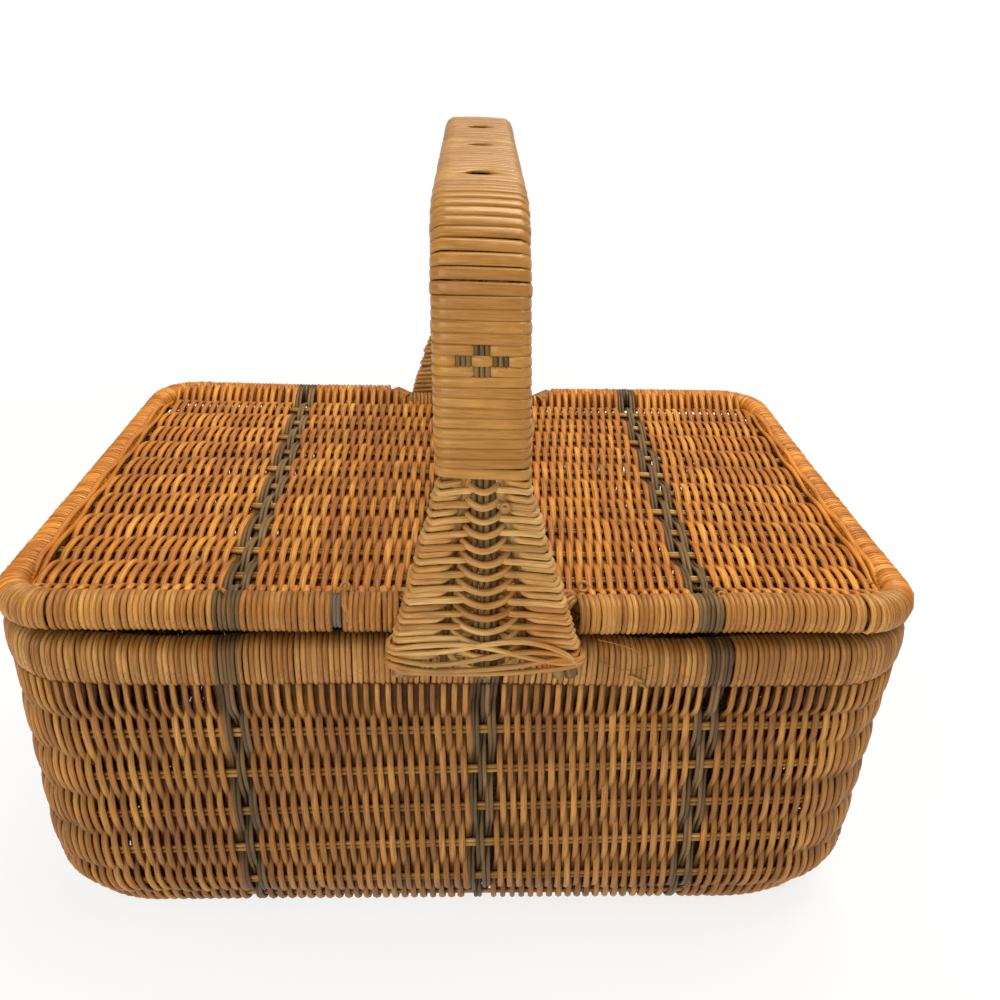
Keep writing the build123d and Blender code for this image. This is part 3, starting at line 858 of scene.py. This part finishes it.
def tub_surface(place, row, inset):
    """Points of the wall's surface, moved in from it, with the direction round the wall."""
    flat = row_height(row)
    x, _, _ = plan_point(wall_plan(flat), *place)
    tilt = ROW_TILT * x * ease(-1.0, 0.5, row) * (1 - ease(3.0, LAST_ROW, row))
    height = np.clip(flat + tilt, 0.0, WALL_TOP + 6)
    x, y, out = plan_point(wall_plan(height), *place)
    low = np.clip(1 - height / BELLY_Z, 0, 1)
    level = np.sqrt(1 - low * low)
    fall = -low * np.where(height < BELLY_Z, 1.0, 0.0)
    normal = np.stack([out[..., 0] * level, out[..., 1] * level, fall], -1)
    normal = unit(normal)
    points = np.stack([x, y, height], -1) - normal * inset
    around = np.stack([-out[..., 1], out[..., 0], np.zeros_like(x)], -1)
    return points, normal, around


def lay_hoops(inset):
    """The pairs of stakes that run round the tub."""
    stakes = Weave()
    shares = (np.arange(HOOP_STEPS) + 0.5) / HOOP_STEPS
    loop = quarter_place(np.repeat(np.arange(8), HOOP_STEPS), np.tile(shares, 8))
    for number in range(TUB_HOOPS):
        for offset in (-STAKE_PAIR, STAKE_PAIR):
            points, _, _ = tub_surface(loop, np.full(8 * HOOP_STEPS, number + offset), inset)
            near = np.min(np.abs(points[:, 0][:, None] - np.array(TUB_BANDS)), axis=1)
            # Painted shade on the stakes where the reeds cover them, less at the smoked bands.
            covered_shade = 0.45 - 0.4 * np.exp(-((near / 8) ** 2))
            stakes.add(points, ALONG_Z, TUB_STAKE, closed=True, painted_shade=covered_shade[None])
    stakes.piece("tub_stake_pairs", "tub", "stake", "core_rattan", "tub_stake_hoops")


def weave_tub(pitch, reed):
    """The upright reeds of the tub, the turns round its rim and the stakes."""
    place, phase, dark = tub_sites(pitch)
    upright = [value[:, None] for value in place]
    count = len(phase)
    rise = STAKE_HALF + reed / 2
    row = np.linspace(TUB_TOP_ROW, LAST_ROW, WALL_STEPS)[None, :]
    turn = math.pi * (row + rng.normal(0, 0.05, (count, 1)) + phase[:, None])
    wave = crest(turn)
    points, normal, around = tub_surface(upright, row, rise + reed / 2)
    lean = 0.45 * np.sin(turn) + rng.normal(0, 0.18, (count, 1)) * np.sin(row * 1.3 + 6 * phase[:, None])
    lines = points + normal * (rise * wave)[..., None] + around * lean[..., None]
    # Every second reed runs on down from the face of the rim, and the others start under it.
    tail = (phase == 1)[:, None]
    reach = np.where(tail, 6.4, 2.0)
    under_rim = [size + reach for size in RIM_PLAN]
    x, y, _ = plan_point(under_rim, *upright)
    start = 1 - np.where(tail, ease(-0.95, -0.1, row), ease(-1.1, -0.55, row))
    lines[..., 0] += (x - lines[..., 0]) * start
    lines[..., 1] += (y - lines[..., 1]) * start
    # Painted shade where a reed dips under a stake. The smoked reeds get less of it.
    painted_shade = np.clip(0.5 - 0.55 * wave, 0, 1)
    width = 1 + 0.06 * rng.normal(0, 1, (count, 1))
    swell = np.where(wave > 0, 0.08, 0.35) * np.abs(wave)
    fat = pitch * (TUB_SQUASH + swell) * width * (1 - 0.22 * start * tail)
    front = (place[1] < 0) & (place[2] < QUARTER[0] + QUARTER[1])
    for half, chosen, nodes in (("front", front, ("tub_wall",)), ("back", ~front, ())):
        weave = Weave()
        pick = chosen & ~dark
        weave.add(lines[pick], around[pick], fat[pick], reed, painted_shade=painted_shade[pick])
        weave.piece("tub_reeds_" + half, "tub", "tub", "tub_reed", *nodes)
    rim_lines, rim_sides = rim_turns(place, reed)
    for name, band in zip(("left", "middle", "right"), TUB_BANDS):
        smoked = Weave()
        pick = dark & (np.abs(place[0] * place[2] - band) < 12)
        smoked.add(lines[pick], around[pick], TUB_BAND_REED, BAND_REED, painted_shade=painted_shade[pick] * 0.7)
        smoked.add(rim_lines[pick], rim_sides[pick], SMOKED_TURN, closed=True)
        shown = "tub_smoked_band_" + name
        smoked.piece(shown, "tub", "smoked", "smoked_cane", "tub_dark_strands_" + name)
    rim = Weave()
    size = reed * 1.1 * (1 + 0.04 * rng.normal(0, 1, count))
    # The top of the rim is in the shade of the lids, so painted shade darkens it.
    shaded = np.clip((rim_lines[..., 2] - RIM_Z - 8.0) / 4.0, 0, 1)
    rim.add(rim_lines[~dark], rim_sides[~dark], size[~dark], reed, closed=True, painted_shade=shaded[~dark])
    add_rim_mends(rim)
    rim.piece("tub_rim_turns", "tub", "rim", "bound_reed", "tub_rim_binding")
    lay_hoops(rise + reed / 2)


def rim_turns(place, reed):
    """A turn round the rim for each reed of the wall. The front of the rim sags in two places."""
    x, y, out = plan_point(RIM_PLAN, *place)
    sag = 2.2 * np.exp(-(((x + 135) / 45) ** 2)) + 2.0 * np.exp(-(((x - 95) / 35) ** 2))
    sag = sag * (y < -120)
    centres = np.stack([x, y, RIM_Z - 0.8 - sag + 0.5 * np.cos(x / 36)], -1)
    along = np.stack([-out[:, 1], out[:, 0], np.zeros_like(x)], -1)
    half_width = RIM_HALF_WIDTH - reed / 2 + 0.1 * rng.normal(0, 1, len(x))
    half_height = RIM_HALF_HEIGHT - reed / 2 - 2.0 - 0.7 * sag + 0.15 * rng.normal(0, 1, len(x))
    lean = rng.normal(0.4, 0.2, len(x))
    return turns(centres, along, half_width, half_height, RIM_POWER, 18, lean)


def add_rim_mends(rim):
    """Cut ends and loose fibres on the front of the rim."""
    face = -RIM_HALF_DEPTH - RIM_HALF_WIDTH
    for x, z, length in ((76.0, 171.5, 6.0), (80.5, 168.0, 4.0)):
        bend = (x + length / 2, face - 1.2, z - 0.6)
        path = [(x, face - 0.2, z), bend, (x + length, face - 1.6, z - 2.0)]
        rim.add(path, ALONG_Z, 1.7)
    fibres = (
        ((60.0, 192.0), (68.0, 190.5), (77.0, 187.5), (82.0, 182.0)),
        ((62.0, 180.0), (70.0, 176.5), (79.0, 176.0), (87.0, 178.5)),
        ((98.0, 170.0), (99.5, 164.0), (98.5, 158.0), (96.0, 153.0)),
    )
    for fibre in fibres:
        path = [(x, face - 1.0 - 1.2 * math.sin(number), z) for number, (x, z) in enumerate(fibre)]
        rim.add(path, ALONG_Z, 0.4, sides=5)


def weave_floor(reed):
    """The floor of the tub: wider spaced reeds over stakes."""
    weave = Weave()
    left, right, depth, corner = [float(v) for v in wall_plan(np.array(0.0))]
    xs = np.arange(-left + 3, right - 2, FLOOR_PITCH)
    reach = np.maximum(np.maximum(xs - (right - corner), (corner - left) - xs), 0)
    end = depth - corner + np.sqrt(np.maximum(corner**2 - reach**2, 0)) - 1
    y = np.linspace(-1, 1, 44)[None, :] * end[:, None]
    wave = np.cos(math.pi * y / FLOOR_STAKE_STEP + math.pi * (np.arange(len(xs)) % 2)[:, None])
    lines = np.stack(np.broadcast_arrays(xs[:, None], y, FLOOR_Z + 1.2 * wave), -1)
    # Painted shade where a floor reed dips under a stake.
    weave.add(lines, ALONG_X, 5.2, 2.2, sides=5, painted_shade=0.5 - 0.5 * wave)
    rows = (np.arange(FLOOR_STAKES) - (FLOOR_STAKES - 1) / 2) * FLOOR_STAKE_STEP
    x = np.linspace(-left + 8, right - 8, 30)
    for offset in (-1.6, 1.6):
        lines = np.stack(np.broadcast_arrays(x, rows[:, None] + offset, FLOOR_Z), -1)
        # The floor's stakes get some painted shade.
        weave.add(lines, ALONG_Y, 2.0, 1.7, sides=5, painted_shade=0.3)
    weave.piece("tub_floor_weave", "tub", "tub", "tub_reed", "tub_floor")


def arch_line(step=1.0):
    """Middle of the handle from the front foot to the back one, with its direction."""
    points = [np.array(point) for point in ARCH_POINTS]
    line = [points[0]]
    for before, corner, after, radius in zip(points, points[1:], points[2:], ARCH_RADII):
        first = unit(before - corner)
        second = unit(after - corner)
        bend = math.acos(float(np.clip(first @ second, -1, 1)))
        back = radius / math.tan(bend / 2)
        centre = corner + unit(first + second) * radius / math.sin(bend / 2)
        start = corner + first * back - centre
        finish = corner + second * back - centre
        span = math.acos(float(np.clip(unit(start) @ unit(finish), -1, 1)))
        for share in np.linspace(0, 1, 12):
            mixed = math.sin((1 - share) * span) * start + math.sin(share * span) * finish
            line.append(centre + mixed / math.sin(span))
    line.append(points[-1])
    line = np.array(line)
    run = np.concatenate([[0], np.linalg.norm(np.diff(line, axis=0), axis=1).cumsum()])
    even = np.arange(0, run[-1], step)
    y = np.interp(even, run, line[:, 0])
    z = np.interp(even, run, line[:, 1])
    share = (y + FOOT_Y) / (2 * FOOT_Y)
    rise = (z - FOOT_Z) / (CROWN_Z - FOOT_Z)
    foot = FOOT_X[-1] + (FOOT_X[1] - FOOT_X[-1]) * share
    top = TOP_X[-1] + (TOP_X[1] - TOP_X[-1]) * share
    points = np.stack([foot + (top - foot) * rise, y, z], -1)
    return points, unit(np.gradient(points, axis=0)), even


def cane_places(line, length, pitch):
    """Where the turns of cane lie along the handle, and how wide each one is."""
    leg = KNEE_Z - FOOT_Z
    places = []
    spot = leg + pitch / 2
    while spot < length - leg - pitch / 2:
        height = float(line[int(spot), 2])
        # The cane gets wider from the knees up to the shoulders.
        higher = float(ease(300, 350, height)) - 0.5 * float(ease(366, 376, height))
        here = pitch * (0.94 + 0.14 * higher) * (1 + 0.02 * rng.normal())
        places.append((spot, here))
        spot += here
    return [np.array(values) for values in zip(*places)]


def fill_handle(line):
    """The strands, rods and ribs inside the handle, which show at its slits and its feet."""
    across = np.array(ALONG_X)
    core = Weave()
    top = line[line[:, 2] > 340]
    for offset in CORE_STRANDS:
        path = top + across * offset + np.array([0.0, 0.0, 3.6])
        # The strands get a little painted shade.
        core.add(path[::3], across, 2.6, 2.4, painted_shade=0.2)
    core.piece("handle_core_strands", "tub", "flare", "core_rattan")
    # The rods inside spread apart below the knees.
    low = np.clip((KNEE_Z - line[:, 2]) / (KNEE_Z - FOOT_Z), 0, 1)
    for name, turn in (("left", -1), ("right", 1)):
        rod = Weave()
        for inner, wide in HANDLE_RODS:
            path = line + across * (turn * (inner + (wide - inner) * low))[:, None]
            # Painted shade on the rods below the knees, inside the flares.
            covered_shade = 0.9 * ease(0.02, 0.12, low)
            rod.add(path[::3], across, HANDLE_ROD, sides=8, painted_shade=covered_shade[::3][None])
        rod.piece("handle_rods_" + name, "tub", "flare", "core_rattan", "handle_cane_" + name)
    ribs = Weave()
    for offset in HANDLE_RIBS:
        path = line + across * offset
        low_part = 1 - ease(KNEE_Z - 4, KNEE_Z + 14, line[:, 2])
        path[:, 1] += np.sign(path[:, 1]) * 2.4 * low_part
        ribs.add(path[::3], across, 2.75, 3.2)
    ribs.piece("handle_smoked_ribs", "tub", "smoked", "smoked_cane", "handle_cane_middle")


def bind_handle(pitch):
    """Flat cane turns over the handle, with its slits and its diamonds."""
    line, way, even = arch_line()
    at, size = cane_places(line, even[-1], pitch)
    centre = np.stack([np.interp(at, even, line[:, axis]) for axis in range(3)], -1)
    along = unit(np.stack([np.interp(at, even, way[:, axis]) for axis in range(3)], -1))
    across = np.array(ALONG_X)
    outward = np.cross(across, along)
    face = np.linspace(0.8, -0.8, 15)
    edge = np.radians([50.0, 20.0, -20.0, -50.0])
    edge_wide = 0.8 + 0.2 * np.cos(edge)
    edge_high = 0.86 * np.sin(edge)
    crowned = 1.0 - 0.14 * face**2
    wide = np.concatenate([face, -edge_wide, -face, edge_wide])
    high = np.concatenate([crowned, edge_high, -crowned, -edge_high])
    steps = len(wide)
    half_wide = HANDLE_HALF_WIDTH - 0.5 + 0.12 * rng.normal(0, 1, (len(at), 1))
    half_high = HANDLE_HALF_THICKNESS - 0.8 + 0.12 * rng.normal(0, 1, (len(at), 1))
    lines = centre[:, None] + across * (half_wide * wide)[..., None]
    lines = lines + outward[:, None] * (half_high * high)[..., None]
    lean = rng.normal(0.0, 0.18, (len(at), 1)) * wide
    # Turns part round each slit on the top of the grip.
    for slit in SLIT_PLACES:
        gap = centre[:, 1] - slit
        top = (centre[:, 2] > 350) & (np.abs(gap) < 16)
        push = SLIT_PUSH * np.sign(gap) * np.exp(-np.abs(gap) / 7) * top
        lean = lean + push[:, None] * np.exp(-((half_wide * wide / 7.0) ** 4)) * (high > 0)
    lines = lines + along[:, None] * lean[..., None]
    # Three turns at each diamond dip under the smoked strands.
    diamonds = []
    for end in (-1, 1):
        rows = [i for i in range(len(at)) if centre[i, 1] * end > 0 and abs(centre[i, 2] - DIAMOND_Z) < 9]
        rows = sorted(rows, key=lambda i: abs(centre[i, 2] - DIAMOND_Z))[:3]
        rows = sorted(rows, key=lambda i: -centre[i, 2])
        for row, spots in zip(rows, ((0.0,), (-DIAMOND_WIDE, DIAMOND_WIDE), (0.0,))):
            diamonds += [(row, spot) for spot in spots]
    for row, spot in diamonds:
        dip = 2.4 * np.exp(-(((HANDLE_HALF_WIDTH * wide - spot) / 3.3) ** 4)) * (high > 0.5)
        lines[row] -= outward[row] * dip[:, None]
    weave = Weave()
    sides = np.repeat(along[:, None], steps, 1)
    weave.add(lines, sides, size * 1.1, 1.8, sides=8, closed=True, power=0.8)
    weave.piece("handle_cane_turns", "tub", "cane", "polished_cane", "handle_binding")
    strands = Weave()
    for row, spot in diamonds:
        for strand in DIAMOND_STRANDS:
            run = np.linspace(-0.66, 0.66, 9)
            bulge = 0.1 - 1.6 * (run / 0.66) ** 4
            path = centre[row] + across * (spot + strand) + outward[row] * (HANDLE_HALF_THICKNESS - 0.9)
            path = path + np.outer(run * size[row], along[row]) + np.outer(bulge, outward[row])
            strands.add(path, across, DIAMOND_REED, 1.6)
    strands.piece("handle_diamonds", "tub", "smoked", "smoked_cane", "handle_dark_inlays")
    fill_handle(line)


def flare_row(half, over, droop, narrow):
    """One row of a flare as a closed line: across the outside, round a rod and back inside."""
    x = half * np.linspace(-1, 1, FLARE_STEPS)
    middle = np.exp(-((x / narrow) ** 2))
    if over:
        # It arcs over the smoked ribs and dives behind the inner rods beside them.
        dive = np.exp(-(((np.abs(x) - 2.05 * narrow) / (0.5 * narrow)) ** 2))
        outside = FLARE_DEPTH + 2.2 * middle - 5.2 * dive
        fall = -droop * np.maximum(1 - (x / (2.1 * narrow)) ** 2, 0.0)
    else:
        # It passes over the inner rods and behind the ribs.
        outside = FLARE_DEPTH + 0.4 - 7.0 * np.exp(-((x / (1.15 * narrow)) ** 4))
        fall = -0.3 * droop * middle
    inside = -(FLARE_DEPTH - 0.6 + (-2.0 if over else 0.6) * middle)
    turn = np.radians([60.0, 0.0, -60.0])
    end_x = half + FLARE_DEPTH * 0.55 * np.cos(turn)
    end_y = FLARE_DEPTH * np.sin(turn)
    xs = np.concatenate([x, end_x, x[::-1], -end_x[::-1]])
    ys = np.concatenate([outside, end_y, inside[::-1], end_y[::-1]])
    zs = np.concatenate([fall, np.zeros(3), fall[::-1] * 0.4, np.zeros(3)])
    return xs, ys, zs


def foot_middle(end, z):
    """Middle of a foot of the handle at a height."""
    rise = (z - FOOT_Z) / (CROWN_Z - FOOT_Z)
    return FOOT_X[end] + (TOP_X[end] - FOOT_X[end]) * rise


def weave_flare(end):
    """The woven flare over one foot of the handle, with a rib on each side of the foot."""
    name = FLARE_NAMES[end]
    weave = Weave()
    pitch = (KNEE_Z + 0.5 - FLARE_LOW) / FLARE_ROWS
    for row in range(FLARE_ROWS):
        z = FLARE_LOW + (row + 0.5) * pitch
        share = (z - FLARE_LOW) / (KNEE_Z - FLARE_LOW)
        half = FLARE_HALF_LOW + (FLARE_HALF_HIGH - FLARE_HALF_LOW) * share - FLARE_DEPTH
        over = row % 2 == 0
        narrow = 3.6 + 5.2 * (1 - share)
        xs, ys, zs = flare_row(half, over, 3.6 + 2.0 * (1 - share), narrow)
        side_drop = 1.2 * (np.abs(xs) / half) ** 3
        x = foot_middle(end, z) + xs + rng.normal(0, 0.3)
        height = z + zs - side_drop + 0.35 * rng.normal() * xs / half + 0.2 * np.sin(xs / 9 + row)
        path = np.stack([x, end * (FOOT_Y + ys), np.maximum(height, FLARE_LOW - 6)], -1)
        thick = FLARE_REED * (1 + 0.05 * rng.normal())
        weave.add(path, ALONG_Z, thick, 2.9, sides=7, closed=True)
    rods = Weave()
    for turn in (-1, 1):
        z = np.linspace(FOOT_Z + 1, KNEE_Z, 20)
        low = (KNEE_Z - z) / (KNEE_Z - FOOT_Z)
        x = foot_middle(end, z) + turn * (9.0 + 10.5 * low)
        path = np.stack([x, np.full(20, end * FOOT_Y), z], -1)
        # The ribs get full painted shade, as they lie inside the flare's rows.
        rods.add(path, ALONG_X, FLARE_RIB, painted_shade=1.0)
    rods.piece("flare_side_ribs_" + name, "tub", "flare", "pale_reed")
    # A small end of reed is knotted off beside the ribs at the top.
    knot = (foot_middle(end, 264.0) + 8.6, end * (FOOT_Y + 6.2), 263.0)
    for radius, tilt in ((1.5, 1.2), (1.1, 0.3)):
        add_curl(weave, knot, radius, tilt, 2.0)
    weave.piece("flare_rows_" + name, "tub", "flare", "pale_reed", "flare_" + name)


def tie_foot(end):
    """The loose strands that tie one foot of the handle below its flare."""
    ties = Weave()
    for strand in TIES:
        x, z = [np.array(values) for values in zip(*strand)]
        x = foot_middle(end, FOOT_Z) + (x - FOOT_X[-1]) * TIE_SPREAD
        z = z + TIE_LIFT
        run = np.linspace(0, 1, TIE_STEPS)
        knots = np.linspace(0, 1, len(x))
        bow = FOOT_Y + 5.6 + 1.2 * np.sin(math.pi * run)
        smooth_x = np.interp(run, knots, x)
        smooth_z = np.interp(run, knots, z)
        for _ in range(3):
            smooth_z[1:-1] = (smooth_z[:-2] + smooth_z[1:-1] + smooth_z[2:]) / 3
        front = np.stack([smooth_x, end * bow, smooth_z], -1)
        turn_x = np.array([3.0, 3.6, 2.4])
        turn_y = FOOT_Y + np.array([3.6, 0.0, -3.4])
        right = np.stack([x[-1] + turn_x, end * turn_y, np.full(3, z[-1])], -1)
        behind_x = np.linspace(x[-1] - 1, x[0] + 1, 10)
        behind_z = np.linspace(z[-1], z[0], 10)
        behind = np.stack([behind_x, np.full(10, end * (FOOT_Y - 3.6)), behind_z], -1)
        left = np.stack([x[0] - turn_x[::-1], end * turn_y[::-1], np.full(3, z[0])], -1)
        path = np.concatenate([front, right, behind, left])
        ties.add(path, ALONG_Z, TIE_REED, sides=7, closed=True)
    name = FLARE_NAMES[end]
    ties.piece("flare_ties_" + name, "tub", "flare", "pale_reed", "flare_lashing_" + name)


def stand(name, data, right, up, back, place):
    """A camera or a lamp at a place in metres, turned to three axes."""
    matrix = Matrix.Identity(4)
    for column, values in enumerate((right, up, back, place)):
        for row in range(3):
            matrix[row][column] = values[row]
    made = bpy.data.objects.new(name, data)
    bpy.context.scene.collection.objects.link(made)
    made.matrix_world = matrix
    return made


def set_camera():
    """The camera at the photograph's viewing angle."""
    yaw, pitch, roll = [math.radians(v) for v in (CAMERA_YAW, CAMERA_PITCH, CAMERA_ROLL)]
    ahead = np.array(
        [math.sin(yaw) * math.cos(pitch), math.cos(yaw) * math.cos(pitch), -math.sin(pitch)]
    )
    level = np.array([math.cos(yaw), -math.sin(yaw), 0.0])
    over = np.cross(level, ahead)
    right = level * math.cos(roll) + over * math.sin(roll)
    up = over * math.cos(roll) - level * math.sin(roll)
    data = bpy.data.cameras.new("camera")
    data.lens = CAMERA_LENS
    data.sensor_width = CAMERA_SENSOR
    data.clip_start = 0.01
    place = [value * MM for value in CAMERA_PLACE]
    bpy.context.scene.camera = stand("camera", data, right, up, -ahead, place)


def add_lamp(name, place, aim, size, power):
    """A soft rectangular lamp aimed at a point."""
    data = bpy.data.lights.new(name, "AREA")
    data.shape = "RECTANGLE"
    data.size, data.size_y = size
    data.energy = power
    data.color = linear(LAMP_COLOUR)
    back = unit(np.array(place) - np.array(aim))
    side = unit(np.cross([0.0, 0.0, 1.0], back))
    stand(name, data, side, np.cross(back, side), back, place)


def make_floor(colour):
    """A pale floor that looks white except in shadow and under the basket."""
    bpy.ops.mesh.primitive_plane_add(size=30.0, location=(0.0, 0.0, -0.0005))
    floor = bpy.context.object
    floor.name = "stage_floor"
    material, tree, shader, output = blank("pale_studio_floor")
    shader.inputs["Base Color"].default_value = rgba(colour)
    shader.inputs["Roughness"].default_value = 0.9
    path = node(tree, "LightPath")
    inputs = {0: path.outputs["Is Camera Ray"], 1: path.outputs["Is Glossy Ray"]}
    share = node(tree, "Math", inputs, operation="MAXIMUM").outputs[0]
    place = node(tree, "TexCoord").outputs["Object"]
    away = node(tree, "VectorMath", {0: place}, operation="LENGTH").outputs["Value"]
    far = node(tree, "MapRange", {"Value": away, 1: 0.25, 2: 0.9, 3: 0.8, 4: 1.0}).outputs[0]
    # The floor under the basket isn't white, so that no light shows through the weave.
    scaled = node(tree, "VectorMath", {0: place, 1: UNDER_BASKET}, operation="MULTIPLY")
    size = node(tree, "VectorMath", {0: scaled.outputs[0]}, operation="ABSOLUTE")
    split = node(tree, "SeparateXYZ", {0: size.outputs[0]})
    inputs = {0: split.outputs[0], 1: split.outputs[1]}
    widest = node(tree, "Math", inputs, operation="MAXIMUM").outputs[0]
    beside = node(tree, "MapRange", {"Value": widest, 1: 0.96, 2: 1.02, 3: 0.0, 4: 1.0}).outputs[0]
    for factor in (far, beside):
        share = node(tree, "Math", {0: share, 1: factor}, operation="MULTIPLY").outputs[0]
    white = node(tree, "Emission", {"Color": grey(1.0), "Strength": 1.0})
    mixed = node(tree, "MixShader", {0: share, 1: shader.outputs[0], 2: white.outputs[0]})
    tree.links.new(mixed.outputs[0], output.inputs["Surface"])
    floor.data.materials.append(material)


def make_world():
    """A soft warm surrounding light that the camera sees as plain white."""
    world = bpy.data.worlds.new("studio")
    world.use_nodes = True
    tree = world.node_tree
    tree.nodes.clear()
    soft = node(tree, "Background", {"Color": rgba(linear("FFF6EA")), "Strength": 0.55})
    plain = node(tree, "Background", {"Color": grey(1.0), "Strength": 1.0})
    seen = node(tree, "LightPath").outputs["Is Camera Ray"]
    mixed = node(tree, "MixShader", {0: seen, 1: soft.outputs[0], 2: plain.outputs[0]})
    node(tree, "OutputWorld", {"Surface": mixed.outputs[0]})
    bpy.context.scene.world = world


class BasketSettings(bpy.types.PropertyGroup):
    """The sizes and the colour that a user would change."""

    lid_pitch: bpy.props.FloatProperty(
        name="Lid reed pitch",
        description="From one reed of a lid to the next",
        default=0.00252,
        unit="LENGTH",
    )
    tub_pitch: bpy.props.FloatProperty(
        name="Tub reed pitch",
        description="From one reed of the tub to the next",
        default=0.00255,
        unit="LENGTH",
    )
    reed: bpy.props.FloatProperty(
        name="Reed", description="Thickness of the weaving reed", default=0.0024, unit="LENGTH"
    )
    cane_pitch: bpy.props.FloatProperty(
        name="Cane pitch",
        description="From one turn of the handle to the next",
        default=0.0043,
        unit="LENGTH",
    )
    floor_colour: bpy.props.FloatVectorProperty(
        name="Floor",
        description="Colour of the studio floor",
        default=linear("FFFFFF"),
        subtype="COLOR",
    )


class BASKET_OT_lids(bpy.types.Operator):
    """Weaves both lids and binds their borders"""

    bl_idname = "basket.lids"
    bl_label = "Weave the lids"

    def execute(self, context):
        sizes = context.scene.basket
        for side in (-1, 1):
            smoked = weave_lid(side, sizes.lid_pitch / MM, sizes.reed / MM)
            bind_lid(side, sizes.lid_pitch / MM, sizes.reed / MM, smoked)
        return {"FINISHED"}


class BASKET_OT_tub(bpy.types.Operator):
    """Weaves the tub's wall, rim and floor"""

    bl_idname = "basket.tub"
    bl_label = "Weave the tub"

    def execute(self, context):
        sizes = context.scene.basket
        weave_tub(sizes.tub_pitch / MM, sizes.reed / MM)
        weave_floor(sizes.reed / MM)
        return {"FINISHED"}


class BASKET_OT_handle(bpy.types.Operator):
    """Binds the handle with flat cane"""

    bl_idname = "basket.handle"
    bl_label = "Bind the handle"

    def execute(self, context):
        bind_handle(context.scene.basket.cane_pitch / MM)
        return {"FINISHED"}


class BASKET_OT_flares(bpy.types.Operator):
    """Weaves the flares over the handle's feet and ties the feet"""

    bl_idname = "basket.flares"
    bl_label = "Weave the flares"

    def execute(self, context):
        for end in (-1, 1):
            weave_flare(end)
            tie_foot(end)
        return {"FINISHED"}


class BASKET_OT_rods(bpy.types.Operator):
    """Gives the rods and loops that stay as they are their peeled rattan"""

    bl_idname = "basket.rods"
    bl_label = "Finish the rods"

    def execute(self, context):
        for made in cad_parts.values():
            made.data.materials.clear()
            made.data.materials.append(materials["rod"])
        return {"FINISHED"}


class BASKET_OT_stage(bpy.types.Operator):
    """Adds the floor, the lamps and the camera"""

    bl_idname = "basket.stage"
    bl_label = "Set the stage"

    def execute(self, context):
        make_floor(context.scene.basket.floor_colour)
        make_world()
        for lamp in LAMPS:
            add_lamp(*lamp)
        set_camera()
        context.scene.view_settings.view_transform = "Standard"
        return {"FINISHED"}


class BASKET_PT_panel(bpy.types.Panel):
    """Lists the basket's steps and sizes"""

    bl_idname = "BASKET_PT_panel"
    bl_label = "Wicker basket"
    bl_space_type = "VIEW_3D"
    bl_region_type = "UI"
    bl_category = "Basket"

    def draw(self, context):
        for name in ("lid_pitch", "tub_pitch", "reed", "cane_pitch", "floor_colour"):
            self.layout.prop(context.scene.basket, name)
        for operator in STEPS:
            self.layout.operator(operator.bl_idname)


STEPS = (
    BASKET_OT_rods,
    BASKET_OT_lids,
    BASKET_OT_tub,
    BASKET_OT_handle,
    BASKET_OT_flares,
    BASKET_OT_stage,
)


def register():
    """Registers the settings, the steps and the panel."""
    for kind in (BasketSettings, *STEPS, BASKET_PT_panel):
        bpy.utils.register_class(kind)
    bpy.types.Scene.basket = bpy.props.PointerProperty(type=BasketSettings)


def unregister():
    """Takes the settings, the steps and the panel away again."""
    del bpy.types.Scene.basket
    for kind in reversed((BasketSettings, *STEPS, BASKET_PT_panel)):
        bpy.utils.unregister_class(kind)


def build():
    """Makes every piece in order."""
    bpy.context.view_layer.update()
    register()
    make_materials()
    bpy.ops.basket.rods()
    bpy.ops.basket.lids()
    bpy.ops.basket.tub()
    bpy.ops.basket.handle()
    bpy.ops.basket.flares()
    bpy.ops.basket.stage()


if __name__ == "__main__":
    build()
